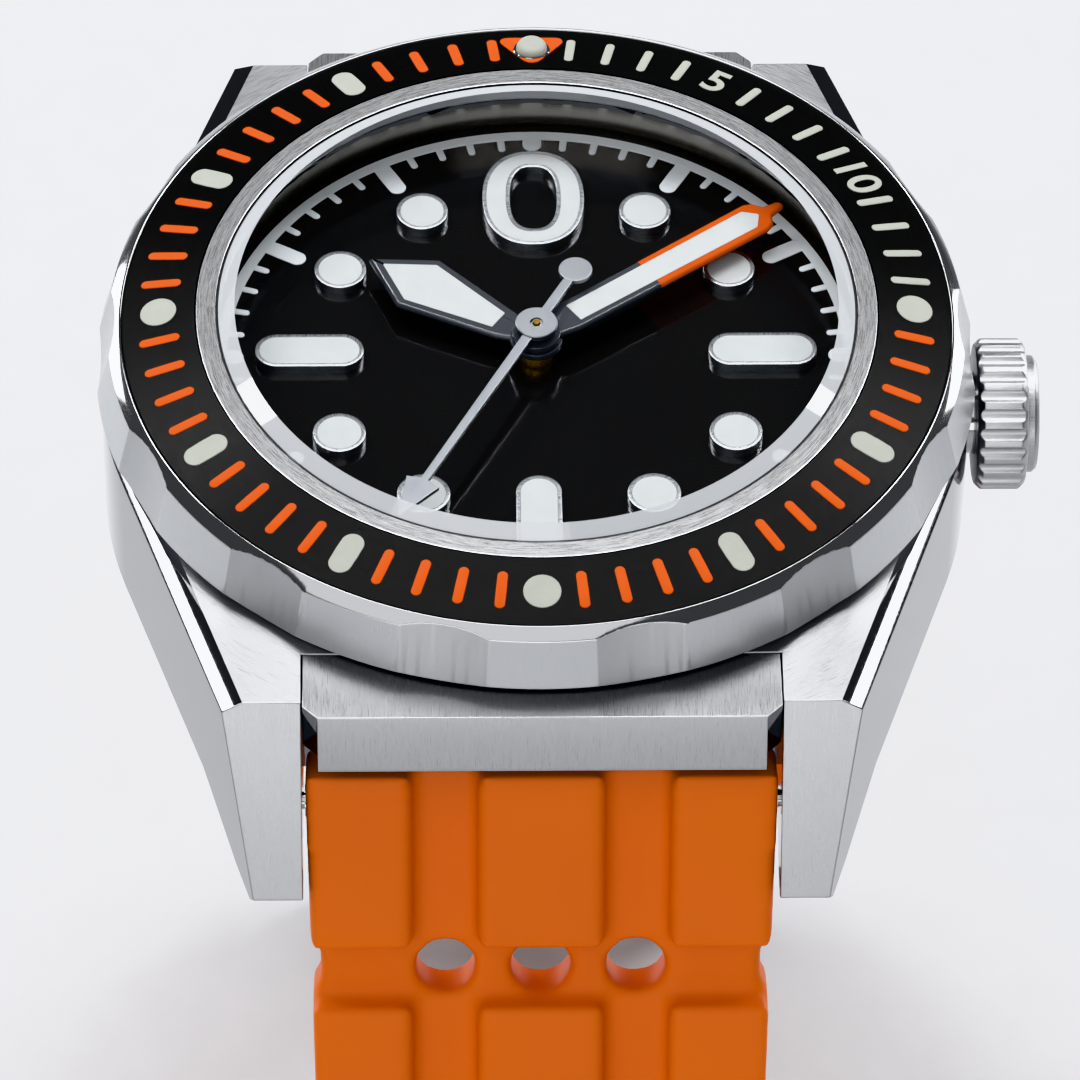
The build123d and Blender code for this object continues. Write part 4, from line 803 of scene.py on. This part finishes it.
def lacquer(name, colour):
    """Gloss lacquer: a dark base under a clear coat, with a little dust in it."""
    material, tree, shader = new_material(name)
    place = add_node(tree, "ShaderNodeTexCoord").outputs["Object"]
    dust = add_node(tree, "ShaderNodeTexNoise", {"Vector": place, "Scale": 1 / (0.15 * MM), "Detail": 2.0})
    colours = add_node(
        tree, "ShaderNodeMix",
        {"Factor": dust.outputs["Fac"], "A": linear(colour), "B": linear("#201F1E")},
        data_type="RGBA",
    )
    tree.links.new(colours.outputs["Result"], shader.inputs["Base Color"])
    shader.inputs["Roughness"].default_value = 0.14
    shader.inputs["Coat Weight"].default_value = 0.2
    shader.inputs["Coat Roughness"].default_value = 0.04
    return material


dial_lacquer = lacquer("lacquer_black", "#131211")


def repaint(node, material):
    """Give a CAD node that is already the right shape its finish."""
    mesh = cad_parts[node].data
    mesh.materials.clear()
    mesh.materials.append(material)


repaint("dial", dial_lacquer)

# %% Minute track
TRACK_OUT_R, TRACK_IN_R = 15.2, 14.64
TRACK_THICK = 0.05
print_bm = bmesh.new()
corners = [
    print_bm.verts.new((radius * MM, 0, DIAL_Z + height * MM))
    for radius, height in (
        (TRACK_IN_R, 0), (TRACK_IN_R + 0.03, TRACK_THICK), (TRACK_OUT_R - 0.03, TRACK_THICK), (TRACK_OUT_R, 0)
    )
]
edges = [print_bm.edges.new((corners[index], corners[(index + 1) % 4])) for index in range(4)]
bmesh.ops.spin(
    print_bm, geom=corners + edges, cent=(0, 0, 0), axis=(0, 0, 1), angle=2 * math.pi,
    steps=180, use_merge=True
)


def on_dial(radius, clock):
    """A place on the dial, its X pointing outwards."""
    turn = Matrix.Rotation(math.radians(90 - clock), 4, "Z")
    return turn @ Matrix.Translation((radius * MM, 0, DIAL_Z))


for minute in range(60):
    if minute % 15 == 0:
        inner, width = 13.85, 0.93
    elif minute % 5 == 0:
        inner, width = 12.7, 0.87
    else:
        inner, width = 13.9, 0.36
    length = TRACK_IN_R + 0.3 - inner
    add_pill(print_bm, length, width, TRACK_THICK - 0.008, on_dial(inner + length / 2, minute * 6), edge=0.03)
close_up(print_bm)
new_piece("minute_track", print_bm, "case", [enamel_grey])

# %% [markdown]
# The applied hour marks are steel frames, faceted and polished, pinned to the dial and filled with
# luminous paint. Each is an outline raised into a block; its top is inset to leave the frame, and
# the middle is sunk. The filling is a slightly crowned pad in that hollow.

# %% Framed outlines


def circle_outline(bm, half_x, half_y, segments=64):
    """A flat ellipse centred on the origin."""
    made = bmesh.ops.create_circle(bm, cap_ends=True, segments=segments, radius=1.0)["verts"]
    bmesh.ops.scale(bm, verts=made, vec=(half_x * MM, half_y * MM, 1))
    return made


def pill_outline(bm, length, width, segments=64):
    """A flat pill, its length along X."""
    made = bmesh.ops.create_circle(bm, cap_ends=True, segments=segments, radius=width / 2 * MM)["verts"]
    for side in (1, -1):
        half = [vert for vert in made if vert.co.x * side > 1e-9]
        bmesh.ops.translate(bm, verts=half, vec=(side * (length - width) / 2 * MM, 0, 0))
    return made


def point_outline(bm, points):
    """A flat outline through a few points given in millimetres."""
    face = bm.faces.new([bm.verts.new((x * MM, y * MM, 0)) for x, y in points])
    face.normal_update()
    if face.normal.z < 0:
        face.normal_flip()


def raise_frame(bm, faces, height, frame_width, sink, edge):
    """Raise flat faces into a block whose top is a frame round a sunk middle."""
    made = bmesh.ops.extrude_face_region(bm, geom=faces)["geom"]
    top_faces = [item for item in made if isinstance(item, bmesh.types.BMFace)]
    top_verts = [item for item in made if isinstance(item, bmesh.types.BMVert)]
    bmesh.ops.translate(bm, verts=top_verts, vec=(0, 0, height * MM))
    bm.normal_update()
    outer_rim = [
        item for item in made
        if isinstance(item, bmesh.types.BMEdge) and item.calc_face_angle(0) > 1.0
    ]
    bmesh.ops.inset_region(
        bm, faces=top_faces, thickness=frame_width * MM, use_even_offset=True, use_boundary=True
    )
    bmesh.ops.inset_region(
        bm, faces=top_faces, thickness=0.01 * MM, depth=-sink * MM, use_even_offset=True, use_boundary=True
    )
    round_edges(bm, outer_rim, edge * MM, 3)


def new_part(build, place):
    """Build a shape on its own and return it as a mesh laid at a place."""
    bm = bmesh.new()
    build(bm)
    close_up(bm)
    bmesh.ops.transform(bm, matrix=place, verts=bm.verts)
    mesh = bpy.data.meshes.new("part")
    bm.to_mesh(mesh)
    bm.free()
    return mesh


def gather(parts):
    """One bmesh from several meshes."""
    bm = bmesh.new()
    for mesh in parts:
        bm.from_mesh(mesh)
        bpy.data.meshes.remove(mesh)
    return bm


# %% Hour marks
MARK_HEIGHT = 0.5
FRAME_W = 0.19
SINK = 0.06
DOT_R = 1.25
HOUR_DOT_R = 10.73
BATON = (5.15, 2.14)
ZERO_HALF = (2.465, 3.2)
ZERO_OPEN = (4.2, 2.24)
ZERO_Y = 10.2


def framed_dot(bm):
    circle_outline(bm, DOT_R, DOT_R)
    raise_frame(bm, list(bm.faces), MARK_HEIGHT, FRAME_W, SINK, 0.05)


def framed_baton(bm):
    pill_outline(bm, *BATON)
    raise_frame(bm, list(bm.faces), MARK_HEIGHT, FRAME_W, SINK, 0.05)


def squared_oval(bm, half_x, half_y, squareness=2.5):
    """An oval with fuller corners than an ellipse has."""
    for vert in circle_outline(bm, 1 / MM, 1 / MM, 96):
        x, y = vert.co.x, vert.co.y
        vert.co.x = math.copysign(abs(x) ** (2 / squareness) * half_x * MM, x)
        vert.co.y = math.copysign(abs(y) ** (2 / squareness) * half_y * MM, y)


def zero_ring(bm, shrink):
    """The numeral's flat ring: an oval with a narrower opening."""
    squared_oval(bm, ZERO_HALF[0] - shrink, ZERO_HALF[1] - shrink, 2.3)
    squared_oval(bm, ZERO_OPEN[1] / 2 + shrink, ZERO_OPEN[0] / 2 + shrink, 2.6)
    bmesh.ops.delete(bm, geom=list(bm.faces), context="FACES_ONLY")
    bmesh.ops.bridge_loops(bm, edges=list(bm.edges))
    bm.normal_update()
    for face in bm.faces:
        if face.normal.z < 0:
            face.normal_flip()


def framed_zero(bm):
    zero_ring(bm, 0)
    raise_frame(bm, list(bm.faces), MARK_HEIGHT, FRAME_W, SINK, 0.05)


def crowned_pad(bm, thickness=0.05):
    """Raise the flat faces already drawn into a low pad with a soft edge."""
    raise_pad(bm, set(), thickness, 0.03)


def dot_fill(bm):
    circle_outline(bm, DOT_R - FRAME_W - 0.01, DOT_R - FRAME_W - 0.01)
    crowned_pad(bm)


def baton_fill(bm):
    pill_outline(bm, BATON[0] - 2 * FRAME_W - 0.02, BATON[1] - 2 * FRAME_W - 0.02)
    crowned_pad(bm)


def zero_fill(bm):
    zero_ring(bm, FRAME_W + 0.01)
    crowned_pad(bm)


FILL_LIFT = Matrix.Translation((0, 0, (MARK_HEIGHT - SINK) * MM))
frames = []
fills = []
for hour in range(1, 12):
    place = on_dial(HOUR_DOT_R, hour * 30)
    long_mark = hour in (3, 6, 9)
    frames.append(new_part(framed_baton if long_mark else framed_dot, place))
    fills.append(new_part(baton_fill if long_mark else dot_fill, place @ FILL_LIFT))
zero_place = Matrix.Translation((0, ZERO_Y * MM, DIAL_Z))
frames.append(new_part(framed_zero, zero_place))
fills.append(new_part(zero_fill, zero_place @ FILL_LIFT))
new_piece("hour_mark_frames", gather(frames), "case", [steel_satin], ["hour_markers"])
new_piece("hour_mark_fillings", gather(fills), "case", [lume_white], ["marker_lume"])

# %% [markdown]
# The hands are stamped steel: the hour hand a broad dart and the minute hand a baton, both with a
# raised enamelled frame round a luminous middle. The outer two thirds of the minute hand are
# orange. The seconds hand is a plain satin needle with a round counterweight and a simple arrow.

# %% Hour and minute hands
HOUR_CLOCK, MINUTE_CLOCK, SECONDS_CLOCK = 304.5, 54.0, 208.0
HOUR_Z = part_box("hour_hand")[0].z
MINUTE_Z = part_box("minute_hand")[0].z
SECONDS_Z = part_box("seconds_hand")[1].z - 0.22 * MM


def on_hand(clock, level):
    """A hand's own frame: X along its length, Z up."""
    return Matrix.Rotation(math.radians(90 - clock), 4, "Z") @ Matrix.Translation((0, 0, level))


def both_sides(half):
    """A closed outline from the points on its left side, base first."""
    return half + [(along, -across) for along, across in reversed(half) if across]


HOUR_HALF = [(0.6, 0.5), (1.75, 0.95), (6.75, 1.83), (9.55, 0.06)]
HOUR_FILL = [(2.15, 0.55), (6.62, 1.38), (8.75, 0.04)]
MINUTE_HALF = [
    (0.6, 0.7), (1.9, 0.95), (13.1, 1.02), (13.55, 0.85), (13.85, 0.36), (14.55, 0.24), (14.72, 0.1)
]
MINUTE_FILL = [(2.2, 0.58), (12.75, 0.64), (13.3, 0.05)]
HAND_THICK = 0.22


def hand_plate(bm, half, round_corner):
    """A hand: a rounded outline, thickened, its upper edges softened."""
    point_outline(bm, both_sides(half))
    bmesh.ops.recalc_face_normals(bm, faces=bm.faces)
    made = bmesh.ops.extrude_face_region(bm, geom=list(bm.faces))["geom"]
    top = [item for item in made if isinstance(item, bmesh.types.BMVert)]
    bmesh.ops.translate(bm, verts=top, vec=(0, 0, HAND_THICK * MM))
    bmesh.ops.recalc_face_normals(bm, faces=bm.faces)
    bm.normal_update()
    rim = [edge for edge in bm.edges if all(vert.co.z > HAND_THICK * 0.5 * MM for vert in edge.verts)]
    round_edges(bm, rim, round_corner * MM, 3)


def hour_plate(bm):
    hand_plate(bm, HOUR_HALF, 0.2)


def minute_plate(bm):
    hand_plate(bm, MINUTE_HALF, 0.17)


def fill_pad(points):
    """A filling that stands just proud of the plate's top."""
    def build(bm):
        point_outline(bm, both_sides(points))
        raise_pad(bm, set(), 0.03, 0.02)
    return build


def hub_ring(bm, outer, inner, low, high, edge=0.04, steps=48):
    """A ring turned about Z with rounded edges."""
    corners = [bm.verts.new((radius * MM, 0, height * MM)) for radius, height in (
        (inner, low), (outer, low), (outer, high - edge), (outer - edge, high), (inner, high)
    )]
    edges = [bm.edges.new((corners[index], corners[(index + 1) % 5])) for index in range(5)]
    bmesh.ops.spin(
        bm, geom=corners + edges, cent=(0, 0, 0), axis=(0, 0, 1), angle=2 * math.pi,
        steps=steps, use_merge=True
    )


ORANGE_FROM = 6.7 * MM
lift = Matrix.Translation((0, 0, (HAND_THICK - 0.005) * MM))


def split_colour(bm):
    """Cut the minute hand where its enamel changes and colour the outer part."""
    geometry = list(bm.verts) + list(bm.edges) + list(bm.faces)
    bmesh.ops.bisect_plane(bm, geom=geometry, plane_co=(ORANGE_FROM, 0, 0), plane_no=(1, 0, 0), dist=1e-7)
    for face in bm.faces:
        face.material_index = 1 if face.calc_center_median().x > ORANGE_FROM else 0


def minute_two_tone(bm):
    minute_plate(bm)
    split_colour(bm)


hour_place = on_hand(HOUR_CLOCK, HOUR_Z)
minute_place = on_hand(MINUTE_CLOCK, MINUTE_Z)
hub_level = Matrix.Translation((0, 0, 0))
new_piece(
    "hour_hand_enamelled",
    gather([new_part(hour_plate, hour_place),
            new_part(lambda bm: hub_ring(bm, 1.25, 0.78, 0, 0.3), Matrix.Translation((0, 0, HOUR_Z)))]),
    "hour_work", [enamel_black], ["hour_hand"],
)
new_piece("hour_hand_filling", gather([new_part(fill_pad(HOUR_FILL), hour_place @ lift)]), "hour_work",
          [lume_white], ["hour_hand_lume"])
new_piece(
    "minute_hand_enamelled",
    gather([new_part(minute_two_tone, minute_place),
            new_part(lambda bm: hub_ring(bm, 1.15, 0.48, 0, 0.3), Matrix.Translation((0, 0, MINUTE_Z)))]),
    "minute_work", [enamel_black, enamel_orange], ["minute_hand"],
)
new_piece("minute_hand_filling", gather([new_part(fill_pad(MINUTE_FILL), minute_place @ lift)]), "minute_work",
          [lume_white], ["minute_hand_lume"])

# %% Seconds hand
steel_hand = brushed_metal("steel_hand_brushed", "#96979A", "x", roughness=0.42, depth=0.1, smear=0.2)
SECONDS_THICK = 0.2


def needle(bm):
    """The tapering needle and its plain arrow head, from the counterweight outwards."""
    point_outline(bm, both_sides([(-3.4, 0.24), (0.0, 0.26), (11.3, 0.2), (11.5, 0.85), (13.85, 0.06)]))
    raise_pad(bm, set(), SECONDS_THICK, 0.04)


def counterweight(bm):
    """The round counterweight."""
    circle_outline(bm, 0.8, 0.8, 40)
    raise_pad(bm, set(), SECONDS_THICK + 0.02, 0.04)


def seconds_hub(bm):
    """The hub: a disc with a hole, and in it the end of the post that the hand is pressed on."""
    hub_ring(bm, 1.0, 0.3, 0, SECONDS_THICK + 0.08)
    before = set(bm.verts)
    circle_outline(bm, 0.24, 0.24, 24)
    raise_pad(bm, before, SECONDS_THICK, 0.05)


seconds_place = on_hand(SECONDS_CLOCK, SECONDS_Z)
weight_place = seconds_place @ Matrix.Translation((-4.05 * MM, 0, 0))
new_piece(
    "seconds_hand_satin",
    gather([new_part(needle, seconds_place), new_part(counterweight, weight_place),
            new_part(seconds_hub, Matrix.Translation((0, 0, SECONDS_Z)))]),
    "seconds_work", [steel_hand], ["seconds_hand"],
)

# %% [markdown]
# Round the dial stands the flange, a thin steel wall. It is turned, dark because it looks into the
# watch, and smooth enough to mirror the minute track as soft streaks.

# %% Flange
steel_dark = brushed_metal("steel_flange_turned", "#C4BFB8", "radius", roughness=0.17, depth=0.1, smear=0.7)
FLANGE_FOOT_R, FLANGE_TOP_R = 15.78, 14.96
CRYSTAL_LOW, CRYSTAL_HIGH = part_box("crystal")
flange_bm = bmesh.new()
flange_points = [
    (FLANGE_FOOT_R, DIAL_Z / MM + 0.005), (FLANGE_FOOT_R - 0.25, DIAL_Z / MM + 0.35),
    (FLANGE_TOP_R, CRYSTAL_LOW.z / MM - 0.02), (FLANGE_TOP_R + 0.05, CRYSTAL_LOW.z / MM - 0.02),
    (FLANGE_FOOT_R - 0.18, DIAL_Z / MM + 0.4), (FLANGE_FOOT_R + 0.1, DIAL_Z / MM + 0.005),
]
corners = [flange_bm.verts.new((radius * MM, 0, height * MM)) for radius, height in flange_points]
count = len(corners)
edges = [flange_bm.edges.new((corners[index], corners[(index + 1) % count])) for index in range(count)]
bmesh.ops.spin(
    flange_bm, geom=corners + edges, cent=(0, 0, 0), axis=(0, 0, 1), angle=2 * math.pi,
    steps=180, use_merge=True
)
close_up(flange_bm)
new_piece("flange_turned", flange_bm, "case", [steel_dark], ["rehaut_ring"])

# %% [markdown]
# The crystal is sapphire, flat, with a ground and polished bevel. Sapphire is clear with a weak
# coating reflection. A thin clear shell renders quickest as a mix of see-through and gloss. A ray
# goes straight on in such a shell, so Fresnel would call its inner side a full mirror at low angles.
# Layer Weight's Facing is the same from both sides; raised to the fifth power it gives glass's gloss.
# The bevel has painted light: a diffuse grey is mixed into it, standing for the studio light that it bends.

# %% Crystal


def clear_glass(name, painted_light_colour, painted_light_share, head_on, grazing):
    """A see-through shell with a share of diffuse colour as painted light; its gloss grows from head_on by
    grazing, at the flattest look.
    """
    material, tree, shader = new_material(name)
    tree.nodes.remove(shader)
    output = tree.nodes["Material Output"]
    through = add_node(tree, "ShaderNodeBsdfTransparent", {"Color": linear("#FCFDFE")})
    gloss = add_node(tree, "ShaderNodeBsdfGlossy", {"Color": linear("#FFFFFF"), "Roughness": 0.02})
    painted_light_layer = add_node(tree, "ShaderNodeBsdfDiffuse", {"Color": linear(painted_light_colour)})
    facing = add_node(tree, "ShaderNodeLayerWeight", {"Blend": 0.5}).outputs["Facing"]
    steep = add_node(tree, "ShaderNodeMath", {0: facing, 1: 5.0}, operation="POWER").outputs[0]
    shine = add_node(tree, "ShaderNodeMath", {0: steep, 1: grazing, 2: head_on}, operation="MULTIPLY_ADD")
    with_painted_light = add_node(tree, "ShaderNodeMixShader", {0: painted_light_share, 1: through.outputs[0], 2: painted_light_layer.outputs[0]})
    mixed = add_node(
        tree, "ShaderNodeMixShader", {0: shine.outputs[0], 1: with_painted_light.outputs[0], 2: gloss.outputs[0]}
    )
    tree.links.new(mixed.outputs[0], output.inputs["Surface"])
    return material


sapphire = clear_glass("sapphire_coated", "#FFFFFF", 0.0, 0.007, 0.05)
# The bevel's diffuse grey is painted light, standing for the studio light that the bevel bends.
sapphire_bevel = clear_glass("sapphire_bevel_painted_light", "#B2B5B9", 0.82, 0.05, 0.3)
crystal_bm = bmesh.new()
crystal_points = [
    (0.0, CRYSTAL_LOW.z / MM), (14.98, CRYSTAL_LOW.z / MM), (14.98, CRYSTAL_HIGH.z / MM - 0.35),
    (14.2, CRYSTAL_HIGH.z / MM), (0.0, CRYSTAL_HIGH.z / MM),
]
corners = [crystal_bm.verts.new((radius * MM, 0, height * MM)) for radius, height in crystal_points]
edges = [crystal_bm.edges.new((corners[index], corners[index + 1])) for index in range(4)]
bmesh.ops.spin(
    crystal_bm, geom=corners + edges, cent=(0, 0, 0), axis=(0, 0, 1), angle=2 * math.pi,
    steps=180, use_merge=True
)
close_up(crystal_bm)
for face in crystal_bm.faces:
    middle = face.calc_center_median()
    face.material_index = 1 if math.hypot(middle.x, middle.y) > 14.0 * MM else 0
new_piece(
    "crystal_clear", crystal_bm, "case", [sapphire, sapphire_bevel], ["crystal"],
    weighted=False, sharp=12,
)

# %% Remaining CAD pieces keep their shape and get their own finish
insert_black = brushed_metal("steel_black_coated_turned", "#232323", "radius", roughness=0.4, depth=0.3)
brass = brushed_metal("brass_lacquered", "#C79A4B", "radius", roughness=0.25, depth=0.1)
nickel = brushed_metal("brass_rhodium_striped", "#B9B6AE", "x", roughness=0.28, depth=0.2)
steel_blue = polished_metal("steel_hardened", "#8C8F94", 0.15)
tungsten = brushed_metal("tungsten_turned", "#8A8A8B", "radius", roughness=0.3, depth=0.2)
ruby = paint("ruby_synthetic", "#A3123A", "#8E0F33", 0.08, 0.2, 0.02, coat=0.8)

repaint("bezel_insert", insert_black)
repaint("bezel_pearl", lume_green)
for node in ("crown_tube", "stem", "spring_bars", "buckle_bar", "bezel_spring", "movement_screws"):
    repaint(node, steel_polished)
for node in ("mainplate", "train_bridge", "balance_cock", "movement_ring"):
    repaint(node, nickel)
for node in (
    "cannon_pinion", "hour_wheel", "minute_wheel", "centre_wheel", "third_wheel", "seconds_wheel",
    "escape_wheel", "barrel", "balance_wheel",
):
    repaint(node, brass)
for node in ("pallet_fork", "hairspring", "sliding_pinion", "winding_pinion", "rotor_bearing"):
    repaint(node, steel_blue)
for node in ("case_back_gasket", "crystal_gasket", "bezel_gasket", "crown_gasket"):
    repaint(node, black_rubber)
repaint("rotor", tungsten)
repaint("jewels", ruby)

# %% [markdown]
# The floor is a plain pale sheet with the faint tooth of matt board.

# %% Floor finish
board, board_tree, board_shader = new_material("board_matt_pale")
board_place = add_node(board_tree, "ShaderNodeTexCoord").outputs["Object"]
board_noise = add_node(
    board_tree, "ShaderNodeTexNoise", {"Vector": board_place, "Scale": 400.0, "Detail": 3.0}
)
board_mix = add_node(
    board_tree, "ShaderNodeMix",
    {"Factor": board_noise.outputs["Fac"], "A": linear("#BFC1C4"), "B": linear("#B9BBBE")},
    data_type="RGBA",
)
board_tree.links.new(board_mix.outputs["Result"], board_shader.inputs["Base Color"])
board_shader.inputs["Roughness"].default_value = 0.7
floor.data.materials.append(board)
